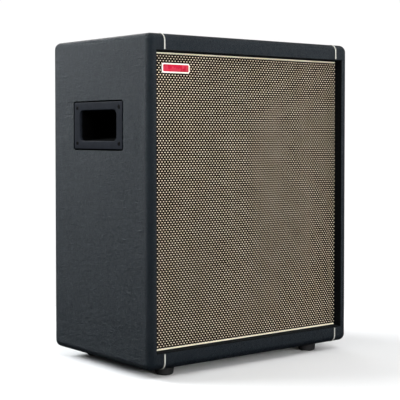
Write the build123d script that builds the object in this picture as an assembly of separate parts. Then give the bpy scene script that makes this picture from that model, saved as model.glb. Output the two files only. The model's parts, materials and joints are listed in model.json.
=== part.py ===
from build123d import *
import os
from math import cos, radians, sin, tan

# Powered guitar speaker cabinet: a vinyl-covered plywood box with a recessed woven grille, a pocket handle
# in each side, four rubber feet, a woofer and a horn on a baffle, and an amplifier on the rear panel.
# Millimetres. +Z is up, the front faces -Y, and the origin is on the floor under the middle of the box.

# ---------------------------------------------------------------- driving dimensions: the box
cabinet_width = 434.0
cabinet_depth = 278.0
cabinet_height = 520.0
foot_height = 16.0
board_thickness = 15.0
vinyl_thickness = 0.9
edge_round = 12.0
inner_edge_round = 2.5
front_rail_height = 27.5
cleat_size = 18.0
joint_clearance = 0.3
head_clearance = 0.3
baffle_screw_depth = 3.0
horn_screw_depth = 2.4
pilot_clearance = 0.05

# front: grille and baffle
grille_recess = 14.0
cloth_thickness = 1.0
grille_frame_thickness = 9.0
grille_frame_width = 26.0
grille_side_clearance = 1.0
grille_pad_thickness = 2.0
grille_pad_size = 22.0
edge_strip_size = 2.2
edge_strip_inset = 1.2
edge_strip_end = 3.0
baffle_thickness = 18.0
piping_inset = 31.0
piping_width = 2.2
piping_proud = 0.6
piping_end_gap = 0.2
badge_width = 54.6
badge_height = 15.4
badge_rim = 2.2
badge_thickness = 2.0
badge_from_side = 62.3
badge_from_top = 52.5

# handles
handle_width = 139.0
handle_height = 76.0
handle_flange = 3.0
handle_corner = 2.5
handle_gap = 2.4
handle_from_bottom = 378.7
pocket_corner = 9.0
pocket_width = 106.0
pocket_height = 50.0
pocket_depth = 50.0
pocket_taper = 6.0
pocket_wall = 2.5
handle_screw_inset = 9.0
handle_screw_depth = 1.8

# feet
foot_top_radius = 16.0
foot_bottom_radius = 14.0
foot_edge_round = 3.0
foot_from_side = 60.0
foot_from_front = 40.0
foot_bore_radius = 6.5
foot_bore_depth = 9.0

# woofer
woofer_from_bottom = 202.0
woofer_radius = 154.0
woofer_rebate = 8.0
woofer_flange = 4.0
woofer_bolt_inset = 7.0
woofer_seat_width = 11.5
cone_inset = 31.0
cone_depth = 57.0
cone_skin = 0.9
magnet_radius = 72.0
magnet_thickness = 18.0
plate_inset = 6.0
plate_thickness = 8.0
pan_clearance = 2.0
gasket_width = 5.5
coil_inner_radius = 24.7
coil_wall = 1.1
coil_clearance = 0.7

# horn and ports
horn_width = 170.0
horn_height = 110.0
horn_flange = 4.0
horn_mouth_border = 11.0
horn_throat = 26.0
horn_depth = 74.0
horn_wall = 3.0
horn_from_top = 100.0
driver_radius = 42.0
driver_length = 40.0
port_gap = 12.0
port_radius = 25.0
port_wall = 2.5
port_lip = 8.0
port_flange = 3.0
port_length = 100.0

# rear: panel and amplifier
rear_recess = 22.0
rear_panel_thickness = 15.0
rear_panel_clearance = 0.6
amp_width = 280.0
amp_height = 150.0
amp_plate_thickness = 2.5
amp_from_top = 136.0
amp_cover_margin = 10.0
amp_cover_depth = 66.0
amp_cover_wall = 1.2
amp_cover_clearance = 2.0
fin_height = 13.0
fin_thickness = 1.6
fin_pitch = 6.0
heatsink_width = 112.0
heatsink_height = 70.0
knob_radius = 9.5
knob_skirt = 1.5
knob_height = 14.0
knob_gap = 0.6
knob_pitch = 35.0
first_knob_inset = 36.75
knob_row_inset = 35.0
first_socket_inset = 40.0
socket_pitch = 36.0
socket_row_rise = 47.0
button_pitch = 26.0
light_inset = 16.0
mains_inset = 36.0
mains_row_rise = 37.0
switch_pitch = 54.0
heatsink_inset = 62.0
heatsink_drop = 49.0
shaft_radius = 3.0
shaft_clearance = 0.05
button_radius = 3.4
rocker_radius = 7.3
rocker_clearance = 0.3
rocker_tilt = 8.0
lead_radius = 2.5

# ---------------------------------------------------------------- places worked out from them
half_width = cabinet_width / 2
front_y = -cabinet_depth / 2
back_y = cabinet_depth / 2
box_bottom = foot_height
box_top = foot_height + cabinet_height
box_middle = (box_bottom + box_top) / 2
inner_x = half_width - vinyl_thickness - board_thickness
inner_bottom = box_bottom + vinyl_thickness + board_thickness
inner_top = box_top - vinyl_thickness - board_thickness
opening_x = inner_x - vinyl_thickness
opening_bottom = box_bottom + front_rail_height
opening_top = box_top - front_rail_height
cloth_front_y = front_y + grille_recess
frame_front_y = cloth_front_y + cloth_thickness
frame_back_y = frame_front_y + grille_frame_thickness
baffle_front_y = frame_back_y + grille_pad_thickness
baffle_back_y = baffle_front_y + baffle_thickness
rear_panel_back_y = back_y - rear_recess
rear_panel_front_y = rear_panel_back_y - rear_panel_thickness
woofer_z = box_bottom + woofer_from_bottom
woofer_bolt_circle = woofer_radius - woofer_bolt_inset
woofer_cutout_radius = woofer_radius - woofer_seat_width
cone_radius = woofer_radius - cone_inset
plate_radius = magnet_radius - plate_inset
horn_z = box_top - horn_from_top
port_flange_radius = port_radius + port_lip
port_from_middle = horn_width / 2 + port_gap + port_flange_radius
knob_skirt_radius = knob_radius + knob_skirt
amp_z = box_top - amp_from_top
handle_z = box_bottom + handle_from_bottom
flange_front_y = baffle_front_y + woofer_rebate - woofer_flange
flange_back_y = baffle_front_y + woofer_rebate
grille_half_x = opening_x - grille_side_clearance
grille_bottom = opening_bottom + grille_side_clearance
grille_top = opening_top - grille_side_clearance
grille_bar_z = (woofer_z + woofer_radius + horn_z - horn_height / 2) / 2
plate_front_y = rear_panel_back_y + amp_cover_wall
plate_back_y = plate_front_y + amp_plate_thickness
cover_end_y = rear_panel_back_y + amp_cover_wall - amp_cover_depth
cover_half_x = amp_width / 2 - amp_cover_margin
cover_half_z = amp_height / 2 - amp_cover_margin

# ---------------------------------------------------------------- fasteners: head radius, head height,
# shank radius and length
HANDLE_SCREW = (3.4, 1.6, 1.75, 11.0)
FOOT_SCREW = (6.0, 2.4, 2.4, 19.0)
BAFFLE_SCREW = (4.2, 2.4, 2.1, 32.0)
HORN_SCREW = (3.8, 2.2, 1.9, 16.0)
REAR_SCREW = (4.4, 2.6, 2.1, 30.0)
PLATE_SCREW = (3.6, 2.2, 1.75, 14.0)
WOOFER_BOLT = (4.6, 3.0, 2.5, 20.0)
TEE_NUT_RADIUS = 9.0
TEE_NUT_FLANGE = 1.2
TEE_NUT_BARREL = 3.6
TEE_NUT_LENGTH = 8.0


# ---------------------------------------------------------------- plain shapes
def block(x0, x1, y0, y1, z0, z1):
    middle = Pos((x0 + x1) / 2, (y0 + y1) / 2, (z0 + z1) / 2)
    return middle * Box(abs(x1 - x0), abs(y1 - y0), abs(z1 - z0))


def rod_x(y, z, radius, x0, x1):
    return Pos((x0 + x1) / 2, y, z) * Rot(0, 90, 0) * Cylinder(radius, abs(x1 - x0))


def rod_y(x, z, radius, y0, y1):
    return Pos(x, (y0 + y1) / 2, z) * Rot(90, 0, 0) * Cylinder(radius, abs(y1 - y0))


def rod_z(x, y, radius, z0, z1):
    return Pos(x, y, (z0 + z1) / 2) * Cylinder(radius, abs(z1 - z0))


def turned(points, x, z, arc=360):
    """A solid turned about the line through (x, z) along Y, from points (radius, y)."""
    outline = make_face(Polyline(*points, close=True))
    return Pos(x, 0, z) * revolve(outline, Axis.Y, arc)


def rounded_plate_y(width, height, corner, x, z, y0, y1):
    """A plate with rounded corners, facing along Y."""
    sketch = Pos(x, y1, z) * Rot(90, 0, 0) * RectangleRounded(width, height, corner)
    return extrude(sketch, amount=y1 - y0)


def facing_x(x, y, z):
    """A plane whose normal is +X and whose first axis runs along Y."""
    return Plane(origin=(x, y, z), x_dir=(0, 1, 0), z_dir=(1, 0, 0))


def rounded_plate_x(width, height, corner, y, z, x0, x1):
    """A plate with rounded corners, facing along X: width runs along Y."""
    sketch = facing_x(x0, y, z) * RectangleRounded(width, height, corner)
    return extrude(sketch, amount=x1 - x0)


def group(solids):
    return Compound([piece.solid() if isinstance(piece, Part) else piece for piece in solids])


TURN = {
    "+x": Rot(0, 90, 0),
    "-x": Rot(0, -90, 0),
    "+y": Rot(-90, 0, 0),
    "-y": Rot(90, 0, 0),
    "-z": Rot(180, 0, 0),
}


def screw(size, place, facing):
    """A cross-head screw whose head is seated at the place, with the head's top facing outwards."""
    head_radius, head_height, shank_radius, length = size
    head = Pos(0, 0, head_height / 2) * Cylinder(head_radius, head_height)
    head = fillet(head.edges().group_by(Axis.Z)[-1], head_height * 0.45)
    tip = shank_radius * 1.6
    shank = Pos(0, 0, -(length - tip) / 2) * Cylinder(shank_radius, length - tip)
    point = Pos(0, 0, -length + tip / 2) * Rot(180, 0, 0) * Cone(shank_radius, 0.3, tip)
    slot = Pos(0, 0, head_height) * Box(head_radius * 1.1, 0.8, head_height)
    cross = slot + Rot(0, 0, 90) * slot
    return Pos(*place) * TURN[facing] * (head + shank + point - cross)


def pilot(size, place, facing):
    """The hole that the screw's shank goes into, and a little room past its point."""
    length = size[3] + 0.5
    hole = Pos(0, 0, -length / 2) * Cylinder(size[2] + pilot_clearance, length)
    return Pos(*place) * TURN[facing] * hole


def head_room(size, place, facing, depth):
    """The counterbore that a head sinks into, from the seat out past the surface."""
    bore = Pos(0, 0, (depth + 1) / 2) * Cylinder(size[0] + head_clearance, depth + 1)
    return Pos(*place) * TURN[facing] * bore


# ---------------------------------------------------------------- box
def carcass(inset):
    """The box as one hollow shape: its outside, or all that the vinyl covers when inset by its thickness."""
    stile = half_width - opening_x
    outer_radius = min(edge_round, stile - inner_edge_round - 1.0) - inset
    inner_radius = inner_edge_round - inset
    body = Pos(0, 0, box_middle) * Box(
        cabinet_width - 2 * inset, cabinet_depth - 2 * inset, cabinet_height - 2 * inset
    )
    body = fillet(body.edges(), outer_radius)
    x = opening_x + inset
    front_low = opening_bottom - inset
    front_high = opening_top + inset
    rear_low = inner_bottom + vinyl_thickness - inset
    rear_high = inner_top - vinyl_thickness + inset
    body -= block(-x, x, front_y - 1, baffle_front_y, front_low, front_high)
    body -= block(-x, x, rear_panel_front_y, back_y + 1, rear_low, rear_high)
    body -= block(-inner_x, inner_x, baffle_front_y, rear_panel_front_y, inner_bottom, inner_top)
    lips = []
    for y, low, high in (
        (front_y + inset, front_low, front_high),
        (back_y - inset, rear_low, rear_high),
    ):
        for edge in body.edges():
            middle = edge.center()
            on_face = abs(middle.Y - y) < 0.01
            inside_x = abs(middle.X) < x + 0.01
            inside_z = low - 0.01 < middle.Z < high + 0.01
            if on_face and inside_x and inside_z:
                lips.append(edge)
    return fillet(lips, inner_radius)


def handle_places():
    """The four screw places on a handle's flange, as (y, z)."""
    y = handle_width / 2 - handle_screw_inset
    z = handle_height / 2 - handle_screw_inset
    return [(side * y, handle_z + up * z) for side in (-1, 1) for up in (-1, 1)]


def foot_places():
    x = half_width - foot_from_side
    y = -front_y - foot_from_front
    return [(side * x, end * y) for side in (-1, 1) for end in (-1, 1)]


def handle_recess(side):
    """The routed step that the flange lies in, out through the vinyl."""
    floor_x = half_width - handle_flange
    return rounded_plate_x(
        handle_width + 2 * handle_gap,
        handle_height + 2 * handle_gap,
        handle_corner + handle_gap,
        0,
        handle_z,
        side * floor_x,
        side * (half_width + 1),
    )


def handle_hole(side):
    """The hole that the pocket goes through."""
    grow = 2 * (pocket_wall + 1.0)
    return rounded_plate_x(
        pocket_width + grow,
        pocket_height + grow,
        pocket_corner + pocket_wall,
        0,
        handle_z,
        side * (inner_x - 1),
        side * half_width,
    )


def handle_screw_seats(side):
    facing = "+x" if side > 0 else "-x"
    seat_x = side * (half_width - handle_screw_depth)
    return [((seat_x, y, z), facing) for y, z in handle_places()]


def side_panel(body, side):
    panel = body & block(side * inner_x, side * half_width, front_y, back_y, box_bottom, box_top)
    panel -= handle_recess(side)
    panel -= handle_hole(side)
    for place, facing in handle_screw_seats(side):
        panel -= pilot(HANDLE_SCREW, place, facing)
    return panel


def foot_screw_places():
    return [((x, y, foot_bore_depth), "-z") for x, y in foot_places()]


def top_panel(body):
    return body & block(-inner_x, inner_x, front_y, back_y, inner_top, box_top)


def bottom_panel(body):
    panel = body & block(-inner_x, inner_x, front_y, back_y, box_bottom, inner_bottom)
    return panel - [pilot(FOOT_SCREW, *seat) for seat in foot_screw_places()]


def front_rails(body):
    lower = body & block(-inner_x, inner_x, front_y, baffle_front_y, inner_bottom, opening_bottom)
    upper = body & block(-inner_x, inner_x, front_y, baffle_front_y, opening_top, inner_top)
    return group([lower, upper])


def piping_path(side, top, grow):
    """One length of seam piping, over the top or under the bottom, from lip to lip."""
    x = side * (half_width - piping_inset)
    half = piping_width / 2 + grow
    proud = piping_proud + grow
    outside = Pos(0, 0, box_middle) * Box(
        piping_width * 2, cabinet_depth + 2 * proud, cabinet_height + 2 * proud
    )
    outside = fillet(outside.edges().filter_by(Axis.X), edge_round + proud)
    inside = Pos(0, 0, box_middle) * Box(
        piping_width * 3, cabinet_depth - 2 * vinyl_thickness, cabinet_height - 2 * vinyl_thickness
    )
    inside = fillet(inside.edges().filter_by(Axis.X), edge_round - vinyl_thickness)
    ring = Pos(x, 0, 0) * (outside - inside)
    front_lip = inner_edge_round + piping_end_gap - grow
    if top:
        front_z = (opening_top + front_lip, box_top + 10)
        rear_z = (inner_top - vinyl_thickness + front_lip, box_top + 10)
    else:
        front_z = (box_bottom - 10, opening_bottom - front_lip)
        rear_z = (box_bottom - 10, inner_bottom + vinyl_thickness - front_lip)
    front = block(x - half, x + half, front_y - 5, 0, *front_z)
    rear = block(x - half, x + half, 0, back_y + 5, *rear_z)
    return ring & (front + rear)


def corner_piping():
    return group([piping_path(side, top, 0.0) for side in (-1, 1) for top in (True, False)])


def vinyl_covering():
    skin = carcass(0.0) - carcass(vinyl_thickness)
    for side in (-1, 1):
        skin -= handle_recess(side)
        skin -= [piping_path(side, top, 0.05) for top in (True, False)]
    return skin - [pilot(FOOT_SCREW, *seat) for seat in foot_screw_places()]


def baffle_screw_places():
    """Down both sides and along the top and bottom, clear of the woofer, the horn and the ports."""
    x = inner_x - cleat_size / 2
    spread = (inner_top - inner_bottom) / 2 - 2.2 * cleat_size
    middle = (inner_top + inner_bottom) / 2
    seat_y = baffle_front_y + baffle_screw_depth
    places = [(side * x, seat_y, middle + up * spread) for side in (-1, 1) for up in (-1, 0, 1)]
    return [(place, "-y") for place in places]


def rear_screw_places():
    x = opening_x - cleat_size / 2
    spread = (inner_top - inner_bottom) / 2 - 1.5 * cleat_size
    middle = (inner_top + inner_bottom) / 2
    sides = [(side * x, middle + up * spread) for side in (-1, 1) for up in (-1, -0.33, 0.33, 1)]
    ends = [(0.0, middle + up * (spread + cleat_size)) for up in (-1, 1)]
    return [((px, rear_panel_back_y, pz), "+y") for px, pz in sides + ends]


def mounting_cleats():
    """Battens behind the baffle and in front of the rear panel, glued round the inside of the box."""
    pieces = []
    baffle_pilots = [pilot(BAFFLE_SCREW, *seat) for seat in baffle_screw_places()]
    rear_pilots = [pilot(REAR_SCREW, *seat) for seat in rear_screw_places()]
    for y0, y1, drilled in (
        (baffle_back_y, baffle_back_y + cleat_size, baffle_pilots),
        (rear_panel_front_y - cleat_size, rear_panel_front_y, rear_pilots),
    ):
        for side in (-1, 1):
            upright = block(side * (inner_x - cleat_size), side * inner_x, y0, y1, inner_bottom, inner_top)
            pieces.append(upright - drilled)
        x = inner_x - cleat_size - joint_clearance
        pieces.append(block(-x, x, y0, y1, inner_bottom, inner_bottom + cleat_size) - drilled)
        pieces.append(block(-x, x, y0, y1, inner_top - cleat_size, inner_top) - drilled)
    return group(pieces)


# ---------------------------------------------------------------- grille and badge
def grille_stiles():
    x1 = grille_half_x - cloth_thickness
    x0 = x1 - grille_frame_width
    low = grille_bottom + cloth_thickness
    high = grille_top - cloth_thickness
    stiles = [block(side * x0, side * x1, frame_front_y, frame_back_y, low, high) for side in (-1, 1)]
    return group([stile - badge_pins(pilot_clearance) for stile in stiles])


def rail_x():
    return grille_half_x - cloth_thickness - grille_frame_width


def grille_rails():
    low = grille_bottom + cloth_thickness
    high = grille_top - cloth_thickness
    half = grille_frame_width / 2
    levels = (
        (low, low + grille_frame_width),
        (grille_bar_z - half, grille_bar_z + half),
        (high - grille_frame_width, high),
    )
    rails = [block(-rail_x(), rail_x(), frame_front_y, frame_back_y, z0, z1) for z0, z1 in levels]
    rails[2] -= badge_pins(pilot_clearance)
    return group(rails)


def grille_cloth():
    tray = block(-grille_half_x, grille_half_x, cloth_front_y, frame_back_y, grille_bottom, grille_top)
    tray = fillet(tray.edges().group_by(Axis.Y)[0], cloth_thickness * 1.5)
    x = grille_half_x - cloth_thickness
    low = grille_bottom + cloth_thickness
    high = grille_top - cloth_thickness
    hollow = block(-x, x, frame_front_y, frame_back_y + 1, low, high)
    return tray - hollow - badge_pins(pilot_clearance)


def grille_edge_strips():
    strips = []
    for z in (
        opening_top - edge_strip_inset - edge_strip_size / 2,
        opening_bottom + edge_strip_inset + edge_strip_size / 2,
    ):
        half = edge_strip_size / 2
        x = grille_half_x - edge_strip_end
        strip = block(-x, x, cloth_front_y - edge_strip_size, cloth_front_y, z - half, z + half)
        strips.append(fillet(strip.edges().group_by(Axis.Y)[0].filter_by(Axis.X), half * 0.85))
    return group(strips)


def grille_pads():
    """Hook-and-loop pads that hold the grille on the baffle."""
    x = grille_half_x - cloth_thickness - grille_frame_width / 2
    low = grille_bottom + cloth_thickness + grille_frame_width / 2 + grille_pad_size
    high = grille_top - cloth_thickness - grille_frame_width / 2 - grille_pad_size
    half = grille_pad_size / 2
    pads = []
    for side in (-1, 1):
        for z in (low, (low + high) / 2 + grille_pad_size * 2, high):
            px = side * x
            pads.append(block(px - half, px + half, frame_back_y, baffle_front_y, z - half, z + half))
    return group(pads)


badge_x = -half_width + badge_from_side
badge_z = box_top - badge_from_top
BADGE_PIN_RADIUS = 1.0
BADGE_PIN_LENGTH = 7.0
BADGE_PIN_INSET = 7.3
BADGE_CORNER = 4.0
BADGE_EDGE = 0.6
INLAY_STEP = 0.3
INLAY_DEPTH = 1.2


def badge_pins(grow):
    places = [badge_x + side * (badge_width / 2 - BADGE_PIN_INSET) for side in (-1, 1)]
    end_y = cloth_front_y + BADGE_PIN_LENGTH + grow
    pins = [rod_y(x, badge_z, BADGE_PIN_RADIUS + grow, cloth_front_y, end_y) for x in places]
    return pins[0] + pins[1]


def badge_inlay_shape(grow):
    width = badge_width - 2 * badge_rim + 2 * grow
    height = badge_height - 2 * badge_rim + 2 * grow
    front = cloth_front_y - badge_thickness
    corner = BADGE_CORNER - badge_rim + grow
    start = front + INLAY_STEP - grow * 8
    return rounded_plate_y(width, height, corner, badge_x, badge_z, start, front + INLAY_DEPTH)


def badge_bezel():
    front = cloth_front_y - badge_thickness
    rim = rounded_plate_y(badge_width, badge_height, BADGE_CORNER, badge_x, badge_z, front, cloth_front_y)
    rim = fillet(rim.edges().group_by(Axis.Y)[0], BADGE_EDGE)
    return rim - badge_inlay_shape(0.05) + badge_pins(0.0)


# ---------------------------------------------------------------- handles and feet
def handle(side):
    """A moulded pocket with a flange, screwed flush into the side."""
    outer_x = half_width
    seat_x = half_width - handle_flange
    spot = (0, handle_z, side * seat_x, side * outer_x)
    flange = rounded_plate_x(handle_width, handle_height, handle_corner, *spot)
    face = flange.faces().sort_by(Axis.X)[-1 if side > 0 else 0]
    flange = fillet(face.edges(), 1.0)

    def tapered(grow, start_x, end_x):
        sections = []
        for x, shrink in ((start_x, 0.0), (end_x, pocket_taper)):
            width = pocket_width + 2 * grow - 2 * shrink
            height = pocket_height + 2 * grow - 2 * shrink
            corner = pocket_corner + grow
            sections.append(facing_x(side * x, 0, handle_z) * RectangleRounded(width, height, corner))
        return loft(sections)

    cup = tapered(pocket_wall, seat_x + 0.5, seat_x - pocket_depth)
    hollow = tapered(0.0, seat_x + 0.5, seat_x - pocket_depth + pocket_wall)
    mouth = rounded_plate_x(
        pocket_width, pocket_height, pocket_corner, 0, handle_z, side * seat_x, side * (outer_x + 1)
    )
    body = flange + cup - hollow - mouth
    lip = [
        edge
        for edge in body.edges()
        if abs(abs(edge.center().X) - outer_x) < 0.01
        and abs(edge.center().Y) < pocket_width / 2 + 0.5
        and abs(edge.center().Z - handle_z) < pocket_height / 2 + 0.5
    ]
    body = fillet(lip, 1.2)
    for place, facing in handle_screw_seats(side):
        body -= pilot(HANDLE_SCREW, place, facing)
        body -= head_room(HANDLE_SCREW, place, facing, handle_screw_depth)
    return body


def handle_screws():
    return group([screw(HANDLE_SCREW, *seat) for side in (-1, 1) for seat in handle_screw_seats(side)])


def rubber_feet():
    feet = []
    for x, y in foot_places():
        points = [(0, 0), (foot_bottom_radius, 0), (foot_top_radius, foot_height), (0, foot_height)]
        outline = make_face(Polyline(*points, close=True))
        foot = Rot(90, 0, 0) * revolve(outline, Axis.Y)
        foot = fillet(foot.edges().group_by(Axis.Z)[0], foot_edge_round)
        foot -= rod_z(0, 0, foot_bore_radius, -1, foot_bore_depth)
        foot -= rod_z(0, 0, FOOT_SCREW[2] + pilot_clearance, 0, foot_height + 1)
        feet.append(Pos(x, y, 0) * foot)
    return group(feet)


def foot_screws():
    return group([screw(FOOT_SCREW, *seat) for seat in foot_screw_places()])


# ---------------------------------------------------------------- baffle
def woofer_bolt_places():
    """Eight places round the woofer's flange, as (x, z)."""
    turns = [radians(22.5 + 45 * k) for k in range(8)]
    return [(woofer_bolt_circle * cos(a), woofer_z + woofer_bolt_circle * sin(a)) for a in turns]


def horn_screw_places():
    x = horn_width / 2 - 7
    z = horn_height / 2 - 7
    seat_y = baffle_front_y + horn_screw_depth
    return [((side * x, seat_y, horn_z + up * z), "-y") for side in (-1, 1) for up in (-1, 1)]


def baffle_board():
    x = inner_x - joint_clearance
    low = inner_bottom + joint_clearance
    high = inner_top - joint_clearance
    board = block(-x, x, baffle_front_y, baffle_back_y, low, high)
    board -= rod_y(0, woofer_z, woofer_cutout_radius, baffle_front_y - 1, baffle_back_y + 1)
    board -= rod_y(0, woofer_z, woofer_radius + joint_clearance, baffle_front_y - 1, flange_back_y)
    board -= rounded_plate_y(
        horn_width + 2 * joint_clearance, horn_height + 2 * joint_clearance, 8.0, 0, horn_z,
        baffle_front_y - 1, baffle_front_y + horn_flange,
    )
    mouth_width = horn_width - 2 * horn_mouth_border + 2 * horn_wall + 2
    mouth_height = horn_height - 2 * horn_mouth_border + 2 * horn_wall + 2
    board -= rounded_plate_y(mouth_width, mouth_height, 16.0, 0, horn_z, baffle_front_y, baffle_back_y + 1)
    for side in (-1, 1):
        px = side * port_from_middle
        flange_hole = port_flange_radius + joint_clearance
        tube_hole = port_radius + port_wall + joint_clearance
        board -= rod_y(px, horn_z, flange_hole, baffle_front_y - 1, baffle_front_y + port_flange)
        board -= rod_y(px, horn_z, tube_hole, baffle_front_y, baffle_back_y + 1)
    for px, pz in woofer_bolt_places():
        board -= rod_y(px, pz, TEE_NUT_BARREL + pilot_clearance, flange_back_y, baffle_back_y + 1)
    board -= [pilot(BAFFLE_SCREW, *seat) for seat in baffle_screw_places()]
    board -= [head_room(BAFFLE_SCREW, *seat, baffle_screw_depth) for seat in baffle_screw_places()]
    board -= [pilot(HORN_SCREW, *seat) for seat in horn_screw_places()]
    return board


def port_tubes():
    tubes = []
    for side in (-1, 1):
        points = [
            (port_radius, baffle_front_y),
            (port_flange_radius, baffle_front_y),
            (port_flange_radius, baffle_front_y + port_flange),
            (port_radius + port_wall, baffle_front_y + port_flange),
            (port_radius + port_wall, baffle_front_y + port_length),
            (port_radius, baffle_front_y + port_length),
        ]
        tube = turned(points, side * port_from_middle, horn_z)
        mouth = tube.edges().group_by(Axis.Y)[0].sort_by(SortBy.RADIUS)[0]
        tubes.append(fillet(mouth, min(2.4, port_flange * 0.8)))
    return group(tubes)


# ---------------------------------------------------------------- woofer
coil_outer_radius = coil_inner_radius + coil_wall
gap_radius = coil_outer_radius + coil_clearance
pole_radius = coil_inner_radius - coil_clearance
pan_radius = magnet_radius + pan_clearance
pan_floor_y = flange_front_y + cone_depth + 20.0
top_plate_y = pan_floor_y + 3.0
magnet_y = top_plate_y + plate_thickness
yoke_y = magnet_y + magnet_thickness
neck_y = flange_front_y + cone_depth
ledge_y = pan_floor_y - 10.0
surround_lip = 1.0
gasket_outer = woofer_cutout_radius - surround_lip
gasket_inner = gasket_outer - gasket_width


def woofer_basket():
    wall = 3.0
    outline = [
        (gasket_inner, flange_front_y),
        (woofer_radius, flange_front_y),
        (woofer_radius, flange_back_y),
        (woofer_cutout_radius - 2.0, flange_back_y),
        (pan_radius, ledge_y - 2.0),
        (pan_radius, top_plate_y),
        (gap_radius + 5.0, top_plate_y),
        (gap_radius + 5.0, pan_floor_y),
        (pan_radius - 3 * wall - 2, pan_floor_y),
        (pan_radius - 3 * wall - 2, ledge_y),
        (pan_radius - wall, ledge_y),
        (pan_radius - wall, ledge_y - 3.0),
        (gasket_inner, flange_back_y + 1.0),
    ]
    basket = turned(outline, 0, woofer_z)
    window = [
        (pan_radius + 8, flange_back_y + 8),
        (woofer_cutout_radius - 10, flange_back_y + 8),
        (woofer_cutout_radius - 10, ledge_y - 8),
        (pan_radius + 8, ledge_y - 8),
    ]
    for k in range(6):
        cutter = revolve(make_face(Polyline(*window, close=True)), Axis.Y, 38)
        basket -= Pos(0, 0, woofer_z) * Rot(0, 60 * k + 11, 0) * cutter
    for x, z in woofer_bolt_places():
        basket -= rod_y(x, z, WOOFER_BOLT[2] + pilot_clearance, flange_front_y - 1, flange_back_y + 1)
    return basket


def woofer_gasket():
    y0 = baffle_front_y
    y1 = flange_front_y - surround_lip
    outline = [(gasket_inner, y0), (gasket_outer, y0), (gasket_outer, y1), (gasket_inner, y1)]
    return turned(outline, 0, woofer_z)


def woofer_surround():
    """A half roll between the basket's rim and the cone, with a flat lip on each."""
    y1 = flange_front_y
    y0 = y1 - surround_lip
    middle = (gasket_inner + cone_radius) / 2
    outer = (gasket_inner - cone_radius) / 2
    inner = outer - surround_lip
    ring = Pos(middle, y1) * (Circle(outer) - Circle(inner))
    roll = ring & Pos(middle, y1 - outer) * Rectangle(outer * 2, outer * 2)
    outer_lip = Pos((gasket_inner + gasket_outer) / 2, (y0 + y1) / 2) * Rectangle(
        gasket_outer - gasket_inner, surround_lip
    )
    inner_lip = Pos(cone_radius - 3.0, (y0 + y1) / 2) * Rectangle(6.0, surround_lip)
    profile = roll + outer_lip + inner_lip
    return Pos(0, 0, woofer_z) * revolve(profile, Axis.Y)


cone_rim = cone_radius - 6.0
cone_neck = coil_outer_radius + pilot_clearance


def cone_front():
    """The cone's front from rim to neck, as a curve in (radius, y)."""
    middle = ((cone_rim + cone_neck) / 2 + 4, (flange_front_y + neck_y) / 2 + 3)
    return Spline((cone_rim, flange_front_y), middle, (cone_neck, neck_y))


def cone_height(radius):
    """Where the cone's front lies along Y at a radius, found by halving."""
    curve = cone_front()
    low, high = 0.0, 1.0
    for _ in range(40):
        share = (low + high) / 2
        if (curve @ share).X > radius:
            low = share
        else:
            high = share
    return (curve @ low).Y


def woofer_cone():
    """A curved paper cone: a rim under the surround, and a neck round the coil former."""
    y_rim = flange_front_y
    rim_in = cone_rim
    neck = cone_neck
    front = cone_front()
    back = Spline(
        (neck, neck_y + 1.3 * cone_skin),
        ((rim_in + neck) / 2 + 4, (y_rim + neck_y) / 2 + 3 + 1.3 * cone_skin),
        (rim_in, y_rim + 1.3 * cone_skin),
    )
    rim = Polyline(
        (rim_in, y_rim + 1.3 * cone_skin),
        (cone_radius, y_rim + cone_skin),
        (cone_radius, y_rim),
        (rim_in, y_rim),
    )
    neck_edge = Line((neck, neck_y), (neck, neck_y + 1.3 * cone_skin))
    return Pos(0, 0, woofer_z) * revolve(make_face([front, neck_edge, back, rim]), Axis.Y)


def woofer_dust_cap():
    """A shallow dome glued over the coil, with its rim just off the cone's curve."""
    rim = coil_outer_radius + 6.0
    y = cone_height(rim) - 0.2
    rise = 11.0
    ball = (rim**2 + rise**2) / (2 * rise)
    ring = Pos(0, y - rise + ball) * (Circle(ball) - Circle(ball - cone_skin))
    profile = ring & Pos(rim / 2, y - rise) * Rectangle(rim, 2 * rise)
    return Pos(0, 0, woofer_z) * revolve(profile, Axis.Y)


def woofer_voice_coil():
    former = coil_inner_radius + 0.4
    y0 = neck_y - 4.0
    y1 = magnet_y + 5.0
    winding = top_plate_y - 5.0
    outline = [
        (coil_inner_radius, y0),
        (former + 0.7, y0),
        (former + 0.7, neck_y + 4.0),
        (former, neck_y + 5.0),
        (former, winding),
        (coil_outer_radius, winding),
        (coil_outer_radius, y1),
        (coil_inner_radius, y1),
    ]
    return turned(outline, 0, woofer_z)


def woofer_spider():
    """A corrugated cloth disc from the coil former to the ledge in the basket."""
    inner = coil_inner_radius + 0.5
    outer = pan_radius - 3.2
    y = ledge_y - 1.2
    waves = 5
    start = inner + 4
    end = outer - 7
    crest = []
    for k in range(2 * waves + 1):
        radius = start + (end - start) * k / (2 * waves)
        crest.append((radius, y - 1.6 if k % 2 else y + 0.4))
    front = [(inner, y)] + crest + [(outer, y + 0.6)]
    back = [(r, v + 0.6) for r, v in reversed(front)]
    return turned(front + back, 0, woofer_z)


def woofer_top_plate():
    y0 = top_plate_y
    y1 = magnet_y
    outline = [(gap_radius, y0), (plate_radius, y0), (plate_radius, y1), (gap_radius, y1)]
    return turned(outline, 0, woofer_z)


def woofer_magnet():
    inner = gap_radius + 8.0
    outline = [(inner, magnet_y), (magnet_radius, magnet_y), (magnet_radius, yoke_y), (inner, yoke_y)]
    return turned(outline, 0, woofer_z)


def woofer_yoke():
    vent = 8.0
    end = yoke_y + plate_thickness
    outline = [
        (vent, top_plate_y - 1.0),
        (pole_radius, top_plate_y - 1.0),
        (pole_radius, yoke_y),
        (plate_radius, yoke_y),
        (plate_radius, end - 2),
        (plate_radius - 2, end),
        (vent, end),
    ]
    return turned(outline, 0, woofer_z)


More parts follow.
